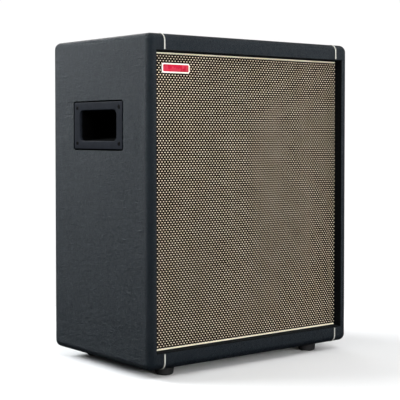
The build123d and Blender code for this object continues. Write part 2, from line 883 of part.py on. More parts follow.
def woofer_terminals():
    """A tag strip riveted on top of the basket's pan, with two upright tabs."""
    base = woofer_z + pan_radius
    strip = block(-12, 12, ledge_y + 1, top_plate_y - 1, base - 3, base + 3)
    strip -= rod_y(0, woofer_z, pan_radius + 0.05, ledge_y - 1, top_plate_y + 1)
    y = (ledge_y + top_plate_y) / 2
    for side in (-1, 1):
        strip += block(side * 6 - 2.4, side * 6 + 2.4, y - 0.4, y + 0.4, base + 2, base + 12)
    return strip


def woofer_fixings():
    """Bolts through the flange, and the tee nuts that they run into."""
    pieces = []
    for x, z in woofer_bolt_places():
        pieces.append(screw(WOOFER_BOLT, (x, flange_front_y, z), "-y"))
        barrel_start = baffle_back_y - TEE_NUT_LENGTH
        nut = rod_y(x, z, TEE_NUT_RADIUS, baffle_back_y, baffle_back_y + TEE_NUT_FLANGE)
        nut += rod_y(x, z, TEE_NUT_BARREL, barrel_start, baffle_back_y)
        nut -= rod_y(x, z, WOOFER_BOLT[2] + 2 * pilot_clearance, barrel_start - 1, baffle_back_y + 3)
        pieces.append(nut)
    return group(pieces)


# ---------------------------------------------------------------- horn
horn_end_y = baffle_front_y + horn_depth
cap_y = horn_end_y + driver_length


def horn_passage(grow, start, end):
    """The flare from the wide mouth to the throat."""
    mouth_width = horn_width - 2 * horn_mouth_border
    mouth_height = horn_height - 2 * horn_mouth_border
    sections = []
    for share, width, height in (
        (0.0, mouth_width, mouth_height),
        (0.45, mouth_width * 0.55, mouth_height * 0.6),
        (1.0, horn_throat, horn_throat),
    ):
        y = start + (end - start) * share
        corner = min(14.0, horn_throat / 2 - 0.1) + grow
        plane = Pos(0, y, horn_z) * Rot(90, 0, 0)
        sections.append(plane * RectangleRounded(width + 2 * grow, height + 2 * grow, corner))
    return loft(sections)


def horn_flare():
    flange_end = baffle_front_y + horn_flange
    plate = rounded_plate_y(horn_width, horn_height, 8.0, 0, horn_z, baffle_front_y, flange_end)
    flare = horn_passage(horn_wall, baffle_front_y + horn_flange - 1, horn_end_y)
    collar = rod_y(0, horn_z, driver_radius * 0.7, horn_end_y - 5, horn_end_y)
    inside = horn_passage(0.0, baffle_front_y, horn_end_y)
    body = plate + flare + collar - inside
    body -= [pilot(HORN_SCREW, *seat) for seat in horn_screw_places()]
    body -= [head_room(HORN_SCREW, *seat, horn_screw_depth) for seat in horn_screw_places()]
    return body


def horn_driver():
    """The compression driver's motor, with a sealed chamber for its diaphragm."""
    throat = horn_throat / 2 - 1.0
    chamber = 25.0
    outline = [
        (throat, horn_end_y),
        (driver_radius, horn_end_y),
        (driver_radius, cap_y - 12),
        (driver_radius - 8, cap_y),
        (0, cap_y),
        (0, cap_y - 3),
        (chamber, cap_y - 3),
        (chamber, cap_y - 12),
        (22.6, cap_y - 12),
        (22.6, cap_y - 22),
        (20.4, cap_y - 22),
        (20.4, cap_y - 12),
        (throat, cap_y - 13),
    ]
    body = turned(outline, 0, horn_z)
    for side in (-1, 1):
        body += block(side * 8 - 2.4, side * 8 + 2.4, cap_y - 1, cap_y + 8, horn_z - 14.4, horn_z - 13.6)
    return body


def horn_diaphragm():
    """A thin dome and its coil, held 0.4 mm clear in the chamber for its short travel."""
    rim_y = cap_y - 11.6
    skin = 0.5
    outline = [
        (21.0, rim_y - 8),
        (22.0, rim_y - 8),
        (22.0, rim_y),
        (24.6, rim_y),
        (24.6, rim_y + skin),
        (20.0, rim_y + skin + 1),
        (12.0, rim_y + skin + 3.6),
        (0, rim_y + skin + 5),
        (0, rim_y + 5),
        (12.0, rim_y + 3.6),
        (21.0, rim_y),
    ]
    return turned(outline, 0, horn_z)


def horn_screws():
    return group([screw(HORN_SCREW, *seat) for seat in horn_screw_places()])


# ---------------------------------------------------------------- rear panel and amplifier
def plate_screw_places():
    x = amp_width / 2 - amp_cover_margin / 2
    z = amp_height / 2 - amp_cover_margin / 2
    spots = [(side * px, up * z) for side in (-1, 1) for px in (x, x / 3) for up in (-1, 1)]
    return [((px, plate_back_y, amp_z + pz), "+y") for px, pz in spots]


def rear_panel():
    x = opening_x - rear_panel_clearance
    low = inner_bottom + vinyl_thickness + rear_panel_clearance
    high = inner_top - vinyl_thickness - rear_panel_clearance
    board = block(-x, x, rear_panel_front_y, rear_panel_back_y, low, high)
    board -= rounded_plate_y(
        2 * (cover_half_x + amp_cover_clearance), 2 * (cover_half_z + amp_cover_clearance), 6.0, 0, amp_z,
        rear_panel_front_y - 1, rear_panel_back_y + 1,
    )
    board -= [pilot(REAR_SCREW, *seat) for seat in rear_screw_places()]
    board -= [pilot(PLATE_SCREW, *seat) for seat in plate_screw_places()]
    return board


# Where each thing on the amplifier's plate stands, as (x, height above the plate's middle)
plate_half_x = amp_width / 2
plate_half_z = amp_height / 2
first_knob_x = plate_half_x - first_knob_inset
knob_row = plate_half_z - knob_row_inset
socket_row = socket_row_rise - plate_half_z
mains_row = mains_row_rise - plate_half_z
CONTROLS = {
    "volume": (first_knob_x, knob_row),
    "bass": (first_knob_x - knob_pitch, knob_row),
    "treble": (first_knob_x - 2 * knob_pitch, knob_row),
    "voicing": (first_knob_x - 3 * knob_pitch, knob_row),
}
INPUTS = (
    (plate_half_x - first_socket_inset, socket_row),
    (plate_half_x - first_socket_inset - socket_pitch, socket_row),
)
LINK = (plate_half_x - first_socket_inset - 2 * socket_pitch, socket_row)
BUTTON = (LINK[0] - button_pitch, socket_row)
LIGHT = (plate_half_x - light_inset, plate_half_z - light_inset - 1.0)
INLET = (mains_inset - plate_half_x, mains_row)
SWITCH = (INLET[0] + switch_pitch, mains_row)
HEATSINK = (heatsink_inset - plate_half_x, plate_half_z - heatsink_drop)
socket_flange = (26.0, 31.0)
socket_radius = 12.0
socket_depth = 25.0
inlet_body = (27.0, 20.0)
inlet_flange = (50.0, 24.0)
switch_body = (26.6, 19.0)
switch_flange = (31.0, 23.0)
light_radius = 2.5
bushing_radius = 3.5
hole_clearance = 0.1
plug_bore_radius = 3.2
plug_bore_length = 20.0


def on_plate(spot):
    return spot[0], amp_z + spot[1]


def amp_plate():
    plate = rounded_plate_y(amp_width, amp_height, 5.0, 0, amp_z, plate_front_y, plate_back_y)
    y0 = plate_front_y - 1
    y1 = plate_back_y + 1
    for spot in CONTROLS.values():
        x, z = on_plate(spot)
        plate -= rod_y(x, z, bushing_radius + 1.5 + hole_clearance, y0, y1)
    for spot in INPUTS + (LINK,):
        x, z = on_plate(spot)
        plate -= rod_y(x, z, socket_radius + hole_clearance, y0, y1)
    x, z = on_plate(BUTTON)
    plate -= rod_y(x, z, button_radius + 1.5 + hole_clearance, y0, y1)
    x, z = on_plate(LIGHT)
    plate -= rod_y(x, z, light_radius + hole_clearance, y0, y1)
    for spot, size in ((INLET, inlet_body), (SWITCH, switch_body)):
        x, z = on_plate(spot)
        w = size[0] / 2 + hole_clearance
        h = size[1] / 2 + hole_clearance
        plate -= block(x - w, x + w, y0, y1, z - h, z + h)
    return plate - [pilot(PLATE_SCREW, *seat) for seat in plate_screw_places()]


def amp_cover():
    """A folded tray behind the plate, whose rim is held between the plate and the rear panel."""
    rim = rounded_plate_y(amp_width, amp_height, 5.0, 0, amp_z, rear_panel_back_y, plate_front_y)
    tray_top = rear_panel_back_y + amp_cover_wall / 2
    tray = rounded_plate_y(2 * cover_half_x, 2 * cover_half_z, 5.0, 0, amp_z, cover_end_y, tray_top)
    wall = amp_cover_wall
    inside = rounded_plate_y(
        2 * (cover_half_x - wall), 2 * (cover_half_z - wall), 5.0 - wall, 0, amp_z,
        cover_end_y + wall, plate_front_y + 1,
    )
    cover = rim + tray - inside
    for points in (WOOFER_LEAD, HORN_LEAD):
        x, y, z = points[0]
        cover += rod_y(x, z, lead_radius + 3.5, cover_end_y - 5, cover_end_y + 0.5)
        cover -= rod_y(x, z, lead_radius + 0.1, cover_end_y - 6, y + 0.2)
    return cover - [pilot(PLATE_SCREW, *seat) for seat in plate_screw_places()]


def heatsink():
    x, z = on_plate(HEATSINK)
    half_x = heatsink_width / 2
    half_z = heatsink_height / 2
    base = 3.0
    body = block(x - half_x, x + half_x, plate_back_y, plate_back_y + base, z - half_z, z + half_z)
    count = int((heatsink_width - fin_thickness) / fin_pitch)
    start = x - count * fin_pitch / 2
    for k in range(count + 1):
        fx = start + k * fin_pitch
        half = fin_thickness / 2
        fin_root = plate_back_y + base - 0.5
        body += block(fx - half, fx + half, fin_root, plate_back_y + fin_height, z - half_z, z + half_z)
    return body


# Each board's middle, width, height and distance from the plate
AMP_BOARD = (62.0 - plate_half_x, 20.0, 96.0, 76.0, 14.0)
SUPPLY_BOARD = (plate_half_x - 74.0, 0.0, 104.0, 104.0, 31.0)
BOARD_THICKNESS = 1.6
STANDOFF_RADIUS = 3.0


def board_corner_places(board):
    x, z, width, height, _ = board
    out = width / 2 - 5
    rise = height / 2 - 5
    return [(x + side * out, amp_z + z + up * rise) for side in (-1, 1) for up in (-1, 1)]


def circuit_board(board):
    x, z, width, height, standoff = board
    y1 = plate_front_y - standoff
    y0 = y1 - BOARD_THICKNESS
    return block(x - width / 2, x + width / 2, y0, y1, amp_z + z - height / 2, amp_z + z + height / 2), y0


def amplifier_board():
    """The class-D output board: inductors, capacitors and a row of connectors."""
    board, y = circuit_board(AMP_BOARD)
    cx = AMP_BOARD[0]
    cz = amp_z + AMP_BOARD[1]
    for dx in (-24, 6):
        board += rod_y(cx + dx, cz + 14, 11, y - 16, y + 0.5)
    for k in range(4):
        board += rod_y(cx - 30 + k * 14, cz - 16, 5, y - 20, y + 0.5)
    board += block(cx + 26, cx + 38, y - 10, y + 0.5, cz - 26, cz + 6)
    return board


def power_supply_board():
    """The mains supply: transformer, reservoir capacitors and a heat spreader."""
    board, y = circuit_board(SUPPLY_BOARD)
    cx = SUPPLY_BOARD[0]
    cz = amp_z + SUPPLY_BOARD[1]
    board += block(cx - 36, cx - 2, y - 24, y + 0.5, cz - 14, cz + 20)
    for k in range(2):
        board += rod_y(cx + 18, cz + 14 - 26 * k, 9, y - 25, y + 0.5)
    board += block(cx + 32, cx + 35, y - 22, y + 0.5, cz - 36, cz + 36)
    board += block(cx - 30, cx - 10, y - 12, y + 0.5, cz - 40, cz - 24)
    return board


def board_standoffs():
    pieces = []
    for board in (AMP_BOARD, SUPPLY_BOARD):
        for x, z in board_corner_places(board):
            pieces.append(rod_y(x, z, STANDOFF_RADIUS, plate_front_y - board[4], plate_front_y))
    return group(pieces)


def control_housings():
    """The four pots and the push switch, each with a bushing and a nut through the plate."""
    pieces = []
    nut = 2.0
    for spot in CONTROLS.values():
        x, z = on_plate(spot)
        body = rod_y(x, z, 8.5, plate_front_y - 11, plate_front_y)
        body += rod_y(x, z, bushing_radius + 1.5, plate_front_y - 0.5, plate_back_y)
        body += rod_y(x, z, bushing_radius + 2.8, plate_back_y, plate_back_y + nut)
        body -= rod_y(x, z, shaft_radius + shaft_clearance, plate_front_y - 9, plate_back_y + nut + 1)
        pieces.append(body)
    x, z = on_plate(BUTTON)
    body = block(x - 6, x + 6, plate_front_y - 14, plate_front_y, z - 6, z + 6)
    body += rod_y(x, z, button_radius + 1.5, plate_front_y - 0.5, plate_back_y)
    body += rod_y(x, z, button_radius + 2.6, plate_back_y, plate_back_y + 1.5)
    body -= rod_y(x, z, button_radius + shaft_clearance, plate_front_y - 10, plate_back_y + 3)
    pieces.append(body)
    return group(pieces)


def knob(name):
    """A knob with a pointer ridge, and the shaft that it is pushed on to."""
    x, z = on_plate(CONTROLS[name])
    y0 = plate_back_y + knob_gap
    outline = [
        (0, y0 + 4),
        (8.0, y0 + 4),
        (8.0, y0),
        (knob_skirt_radius, y0),
        (knob_skirt_radius, y0 + 1.6),
        (knob_radius, y0 + 2.6),
        (knob_radius - 0.8, y0 + knob_height - 1),
        (knob_radius - 2.0, y0 + knob_height),
        (0, y0 + knob_height),
    ]
    body = turned(outline, x, z)
    for k in range(20):
        turn = radians(18 * k + 9)
        reach = knob_radius * 1.06
        body -= rod_y(x + reach * cos(turn), z + reach * sin(turn), 1.0, y0 + 3, y0 + 20)
    top = y0 + knob_height
    body += block(x - 0.6, x + 0.6, top - 2, top + 0.4, z + 1, z + knob_radius - 1.8)
    shaft_end = y0 + knob_height - 4
    body -= rod_y(x, z, shaft_radius + hole_clearance, y0, shaft_end + 0.2)
    shaft = rod_y(x, z, shaft_radius, plate_front_y - 8.5, shaft_end)
    return group([body, shaft])


def ground_lift_button():
    x, z = on_plate(BUTTON)
    button = rod_y(x, z, button_radius, plate_front_y - 7, plate_back_y + 1.5 + 3.5)
    return fillet(button.edges().group_by(Axis.Y)[-1], 0.6)


def xlr_holes(x, z, y0, y1):
    turns = [radians(90 + 120 * k) for k in range(3)]
    holes = [rod_y(x + 7.2 * cos(a), z + 7.2 * sin(a), 1.3, y0, y1) for a in turns]
    return holes[0] + holes[1] + holes[2]


def input_socket(spot):
    """A combination socket: a jack bore in the middle of three round contacts."""
    x, z = on_plate(spot)
    front = plate_back_y + 2.0
    body = rounded_plate_y(*socket_flange, 3.0, x, z, plate_back_y, front)
    body += rod_y(x, z, socket_radius, plate_front_y - socket_depth, plate_back_y + 0.5)
    body -= rod_y(x, z, plug_bore_radius, front - plug_bore_length, front + 1)
    return body - xlr_holes(x, z, front - 12, front + 1)


def link_socket():
    """A three-pin output: a round cup with its pins standing inside."""
    x, z = on_plate(LINK)
    front = plate_back_y + 2.0
    body = rounded_plate_y(*socket_flange, 3.0, x, z, plate_back_y, front)
    body += rod_y(x, z, socket_radius, plate_front_y - socket_depth, plate_back_y + 0.5)
    body -= rod_y(x, z, 8.2, front - 14, front + 1)
    for k in range(3):
        turn = radians(90 + 120 * k)
        body += rod_y(x + 4.8 * cos(turn), z + 4.8 * sin(turn), 1.2, front - 15, front - 2)
    return body


def jack_sockets():
    return group([input_socket(spot) for spot in INPUTS] + [link_socket()])


def mains_inlet():
    """A three-blade appliance inlet on a screwed flange."""
    x, z = on_plate(INLET)
    front = plate_back_y + 2.5
    body = rounded_plate_y(*inlet_flange, 4.0, x, z, plate_back_y, front)
    w = inlet_body[0] / 2
    h = inlet_body[1] / 2
    body += block(x - w, x + w, plate_front_y - 22, plate_back_y + 0.5, z - h, z + h)
    hollow = block(x - 12, x + 12, front - 15, front + 1, z - 8.2, z + 8.2)
    corners = hollow.edges().filter_by(Axis.Y).group_by(Axis.Z)[-1]
    body -= chamfer(corners, 4.0)
    for dx, dz in ((-7, -2), (0, 2), (7, -2)):
        body += block(x + dx - 1, x + dx + 1, front - 16, front - 3, z + dz - 2, z + dz + 2)
    return body


rocker_axis_y = plate_back_y + 0.5
rocker_half = 11.5


def power_switch_housing():
    x, z = on_plate(SWITCH)
    front = plate_back_y + 2.0
    body = rounded_plate_y(*switch_flange, 2.0, x, z, plate_back_y, front)
    w = switch_body[0] / 2
    h = switch_body[1] / 2
    body += block(x - w, x + w, plate_front_y - 18, plate_back_y + 0.5, z - h, z + h)
    room = rocker_half + rocker_clearance
    tall = rocker_radius + rocker_clearance
    body -= block(x - room, x + room, rocker_axis_y - 8, front + 1, z - tall, z + tall)
    return body - rod_x(rocker_axis_y, z, 1.0 + shaft_clearance, x - room - 1.2, x + room + 1.2)


def power_rocker():
    """A rocker on two pins, resting tilted to off."""
    x, z = on_plate(SWITCH)
    body = rod_x(0, 0, rocker_radius, -rocker_half, rocker_half)
    body -= block(-20, 20, -20, -5.5, -20, 20)
    low = 3.2
    reach = 2 * rocker_radius
    high = low + reach * tan(radians(rocker_tilt))
    points = [(low, 0), (high, reach), (reach, reach), (reach, -reach), (high, -reach)]
    hollow = make_face(Polyline(*points, close=True))
    body -= extrude(Plane.YZ * hollow, amount=2 * rocker_half, both=True)
    body += rod_x(0, 0, 1.0, -rocker_half - 1.0, rocker_half + 1.0)
    return Pos(x, rocker_axis_y, z) * Rot(-rocker_tilt, 0, 0) * body


def status_light():
    x, z = on_plate(LIGHT)
    lens = rod_y(x, z, light_radius, plate_front_y - 6, plate_back_y + 2)
    lens = fillet(lens.edges().group_by(Axis.Y)[-1], light_radius * 0.9)
    return lens + rod_y(x, z, light_radius + 0.8, plate_front_y - 1.2, plate_front_y)


# ---------------------------------------------------------------- leads inside the box
WOOFER_LEAD = (
    (-40.0, cover_end_y - 1.0, amp_z - 48.0),
    (-40.0, cover_end_y - 28.0, amp_z - 48.0),
    (-27.0, cover_end_y - 54.0, amp_z - 56.0),
    (-12.0, cover_end_y - 76.0, amp_z - 63.0),
    (-6.0, (ledge_y + top_plate_y) / 2, woofer_z + pan_radius + 30.0),
    (-6.0, (ledge_y + top_plate_y) / 2, woofer_z + pan_radius + 12.2),
)
HORN_LEAD = (
    (-84.0, cover_end_y - 1.0, amp_z - 36.0),
    (-84.0, cover_end_y - 18.0, amp_z - 36.0),
    (-62.0, cover_end_y - 22.0, amp_z - 14.0),
    (-36.0, cover_end_y - 18.0, amp_z + 4.0),
    (-10.0, cover_end_y - 17.0, horn_z - 17.0),
    (-8.0, cap_y + 8.2, horn_z - 14.0),
)


def lead_radii(points):
    """Each arc takes 0.45 of the shorter run beside it."""
    radii = []
    for before, corner, after in zip(points, points[1:], points[2:]):
        first = Vector(*corner) - Vector(*before)
        second = Vector(*after) - Vector(*corner)
        turn = radians(first.get_angle(second))
        radii.append(0.45 * min(first.length, second.length) / tan(turn / 2))
    return radii


def speaker_lead(points, label):
    radii = lead_radii(points)
    path = FilletPolyline(*points, radius=radii)
    section = Plane(origin=points[0], z_dir=path % 0) * Circle(lead_radius)
    print(label, "arc radii", [round(r) for r in radii], "length", round(path.length, 1))
    return sweep(section, path=path)


def speaker_leads():
    return group([speaker_lead(WOOFER_LEAD, "woofer lead"), speaker_lead(HORN_LEAD, "horn lead")])


# ---------------------------------------------------------------- every node
def build():
    body = carcass(vinyl_thickness)
    nodes = {
        "side_panel_left": side_panel(body, -1),
        "side_panel_right": side_panel(body, 1),
        "top_panel": top_panel(body),
        "bottom_panel": bottom_panel(body),
        "front_rails": front_rails(body),
        "mounting_cleats": mounting_cleats(),
        "vinyl_covering": vinyl_covering(),
        "corner_piping": corner_piping(),
        "baffle_board": baffle_board(),
        "baffle_screws": group([screw(BAFFLE_SCREW, *seat) for seat in baffle_screw_places()]),
        "grille_stiles": grille_stiles(),
        "grille_rails": grille_rails(),
        "grille_cloth": grille_cloth(),
        "grille_edge_strips": grille_edge_strips(),
        "grille_pads": grille_pads(),
        "badge_bezel": badge_bezel(),
        "badge_inlay": badge_inlay_shape(0.0),
        "handle_left": handle(-1),
        "handle_right": handle(1),
        "handle_screws": handle_screws(),
        "rubber_feet": rubber_feet(),
        "foot_screws": foot_screws(),
        "woofer_basket": woofer_basket(),
        "woofer_gasket": woofer_gasket(),
        "woofer_surround": woofer_surround(),
        "woofer_spider": woofer_spider(),
        "woofer_top_plate": woofer_top_plate(),
        "woofer_magnet": woofer_magnet(),
        "woofer_yoke": woofer_yoke(),
        "woofer_terminals": woofer_terminals(),
        "woofer_fixings": woofer_fixings(),
        "woofer_cone": woofer_cone(),
        "woofer_dust_cap": woofer_dust_cap(),
        "woofer_voice_coil": woofer_voice_coil(),
        "horn_flare": horn_flare(),
        "horn_driver": horn_driver(),
        "horn_diaphragm": horn_diaphragm(),
        "horn_screws": horn_screws(),
        "port_tubes": port_tubes(),
        "rear_panel": rear_panel(),
        "rear_panel_screws": group([screw(REAR_SCREW, *seat) for seat in rear_screw_places()]),
        "amp_plate": amp_plate(),
        "amp_plate_screws": group([screw(PLATE_SCREW, *seat) for seat in plate_screw_places()]),
        "amp_cover": amp_cover(),
        "heatsink": heatsink(),
        "amplifier_board": amplifier_board(),
        "power_supply_board": power_supply_board(),
        "board_standoffs": board_standoffs(),
        "control_housings": control_housings(),
        "volume_knob": knob("volume"),
        "bass_knob": knob("bass"),
        "treble_knob": knob("treble"),
        "voicing_knob": knob("voicing"),
        "ground_lift_button": ground_lift_button(),
        "jack_sockets": jack_sockets(),
        "mains_inlet": mains_inlet(),
        "power_switch_housing": power_switch_housing(),
        "power_rocker": power_rocker(),
        "status_light": status_light(),
        "speaker_leads": speaker_leads(),
    }
    return nodes


if __name__ == "__main__":
    os.makedirs("parts", exist_ok=True)
    for name, shape in build().items():
        export_step(shape, f"parts/{name}.step")
        print(name)
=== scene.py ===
"""Visual model of a tall powered guitar speaker cabinet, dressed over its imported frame.

Lengths are metres unless a name says otherwise. The grille faces -Y, +X is to the right seen from the
front, and the floor is at Z = 0.
"""
import json
import logging
import math
from dataclasses import dataclass, field
from enum import Enum
from typing import Any, Optional, Sequence

import bmesh
import bpy
from bpy.types import ID, Material, Mesh, Node, NodeSocket, NodeTree, Object
from mathutils import Matrix, Vector


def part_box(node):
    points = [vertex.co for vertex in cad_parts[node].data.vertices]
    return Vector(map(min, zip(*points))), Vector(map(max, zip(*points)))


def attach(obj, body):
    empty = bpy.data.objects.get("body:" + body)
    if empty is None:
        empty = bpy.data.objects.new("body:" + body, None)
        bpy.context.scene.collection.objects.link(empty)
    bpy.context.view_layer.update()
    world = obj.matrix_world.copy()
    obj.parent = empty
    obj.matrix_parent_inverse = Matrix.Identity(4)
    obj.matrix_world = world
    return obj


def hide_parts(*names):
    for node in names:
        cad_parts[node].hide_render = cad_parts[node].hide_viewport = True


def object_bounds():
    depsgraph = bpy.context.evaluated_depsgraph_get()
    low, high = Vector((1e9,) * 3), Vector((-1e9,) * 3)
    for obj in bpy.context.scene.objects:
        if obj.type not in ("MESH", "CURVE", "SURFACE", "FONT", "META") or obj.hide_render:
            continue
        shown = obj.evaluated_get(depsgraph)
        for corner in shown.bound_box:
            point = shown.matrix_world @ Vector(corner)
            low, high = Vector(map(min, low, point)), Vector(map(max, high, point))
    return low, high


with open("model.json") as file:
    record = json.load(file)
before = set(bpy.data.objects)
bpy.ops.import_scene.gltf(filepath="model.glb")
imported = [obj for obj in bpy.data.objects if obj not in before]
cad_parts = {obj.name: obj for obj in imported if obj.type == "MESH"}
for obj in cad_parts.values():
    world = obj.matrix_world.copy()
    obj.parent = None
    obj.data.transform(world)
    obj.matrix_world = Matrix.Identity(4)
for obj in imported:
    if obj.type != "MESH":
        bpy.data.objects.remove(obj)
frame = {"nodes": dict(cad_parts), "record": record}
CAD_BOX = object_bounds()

LOG = logging.getLogger("cabinet")
Colour = tuple[float, float, float]
MM = 0.001
WHITE: Colour = (1.0, 1.0, 1.0)
DUST_COLOUR: Colour = (0.32, 0.31, 0.29)
# Near-black colours of painted shade: the inside of a handle's pocket, and the vinyl lining the grille's reveal.
POCKET_SHADE_COLOUR: Colour = (0.0006, 0.0007, 0.0009)
REVEAL_SHADE_COLOUR: Colour = (0.0006, 0.0005, 0.0004)
POCKET_SHADE_FADE, REVEAL_SHADE_FADE = 2.5, 1.3  # where each painted shade ends, in its own depths
VALLEY_SHADE = 0.45  # the darkening under a relief's mask, against the finish's dark colour: painted shade in pebble valleys, the own darker tone of wood rings and weave threads
VALLEY_SHARE = 0.6  # how much of that shade shows
DRAWN_OUT = 0.03  # the scale of a grain or brushing along its own axis
GLOSS_CLOUDS = 2.3  # patches of gloss in one cloud of colour
COAT_ROUGHNESS = 0.2
BACKDROP_STRENGTH = 1.02
MIX_SHARE, MIX_FIRST, MIX_SECOND, MIX_RESULT = 0, 6, 7, 2  # the sockets of a colour Mix node


class Pattern(Enum):
    """The surface relief that a finish carries."""

    PEBBLE = "pebble"
    MOULDED = "moulded"
    BRUSHED = "brushed"
    GRAIN = "grain"
    WEAVE = "weave"
    FIBRE = "fibre"


class Axis(Enum):
    """The direction that a grain or brushing follows."""

    X = 0
    Z = 2


# ---- node writing
class Graph:
    """Writes nodes and links into one tree.

    Args:
        tree: The shader or geometry tree to fill.
    """

    def __init__(self, tree: NodeTree) -> None:
        """Keeps the tree."""
        self.tree = tree

    def add(self, kind: str, inputs: Optional[dict[Any, Any]] = None, **settings: Any) -> Node:
        """Adds a node.

        Args:
            kind: The node's type name.
            inputs: Values or output sockets for its inputs, by name or number.
            **settings: Attributes to set on the node.

        Returns:
            The node.
        """
        node = self.tree.nodes.new(kind)
        for name, value in settings.items():
            setattr(node, name, value)
        for name, value in (inputs or {}).items():
            self.feed(node.inputs[name], value)
        return node

    def feed(self, socket: NodeSocket, value: Any) -> None:
        """Links an output socket to an input, or sets the input's own value."""
        if isinstance(value, NodeSocket):
            self.tree.links.new(value, socket)
        elif isinstance(value, tuple) and socket.type == "RGBA":
            socket.default_value = (*value, 1.0)
        else:
            socket.default_value = value

    def math(self, operation: str, first: Any, second: Any = 0.0, clamp: bool = False) -> NodeSocket:
        """Adds a Math node and returns its output."""
        node = self.add("ShaderNodeMath", {0: first, 1: second}, operation=operation, use_clamp=clamp)
        return node.outputs[0]

    def times(self, first: Any, second: Any, clamp: bool = False) -> NodeSocket:
        """Adds a Math node that multiplies, and returns its output."""
        return self.math("MULTIPLY", first, second, clamp)

    def mix(self, share: Any, first: Any, second: Any) -> NodeSocket:
        """Mixes two colours and returns the result."""
        node = self.add("ShaderNodeMix", data_type="RGBA")
        for key, value in ((MIX_SHARE, share), (MIX_FIRST, first), (MIX_SECOND, second)):
            self.feed(node.inputs[key], value)
        return node.outputs[MIX_RESULT]

    def vector(self, operation: str, first: Any, second: Any) -> NodeSocket:
        """Adds a Vector Math node and returns its vector."""
        return self.add("ShaderNodeVectorMath", {0: first, 1: second}, operation=operation).outputs[0]

    def axes(self, vector: Any) -> Any:
        """Splits a vector and returns its X, Y and Z outputs."""
        return self.add("ShaderNodeSeparateXYZ", {0: vector}).outputs

    def random(self, seed: Any, least: Colour, most: Colour) -> NodeSocket:
        """Adds a random vector between two corners and returns it."""
        node = self.add("FunctionNodeRandomValue", {"Seed": seed}, data_type="FLOAT_VECTOR")
        node.inputs[0].default_value, node.inputs[1].default_value = least, most
        return node.outputs[0]

    def group(self, tree: NodeTree, values: dict[str, Any]) -> Any:
        """Adds a shared node group and returns its outputs."""
        return self.add("ShaderNodeGroup", values, node_tree=tree).outputs

    def spread(self, value: Any, low: float, high: float, to_low: Any = 0.0, to_high: Any = 1.0) -> Any:
        """Maps low..high to to_low..to_high, clamped, and returns the result."""
        keys = {"Value": value, "From Min": low, "From Max": high, "To Min": to_low, "To Max": to_high}
        return self.add("ShaderNodeMapRange", keys).outputs[0]

    def noise(self, vector: Any, scale: Any, detail: float = 3.0, rough: float = 0.55) -> NodeSocket:
        """Adds a noise texture and returns its value."""
        keys = {"Vector": vector, "Scale": scale, "Detail": detail, "Roughness": rough}
        return self.add("ShaderNodeTexNoise", keys).outputs[0]


def new_group(name: str, inputs: Sequence[tuple[str, str, Any]], outputs: Sequence[tuple[str, str]]) -> Any:
    """Starts a shader node group with named sockets.

    Args:
        name: The group's name.
        inputs: Each input's name, socket type and value, after the Vector that every group has.
        outputs: Each output's name and socket type.

    Returns:
        The graph, the input node's outputs and the output node's inputs.
    """
    tree = bpy.data.node_groups.new(name, "ShaderNodeTree")
    for label, kind, value in (("Vector", "Vector", None), *inputs):
        socket = tree.interface.new_socket(label, in_out="INPUT", socket_type="NodeSocket" + kind)
        if value is not None:
            socket.default_value = value
    for label, kind in outputs:
        tree.interface.new_socket(label, in_out="OUTPUT", socket_type="NodeSocket" + kind)
    graph = Graph(tree)
    entry = graph.add("NodeGroupInput")
    result = graph.add("NodeGroupOutput")
    return graph, entry.outputs, result.inputs


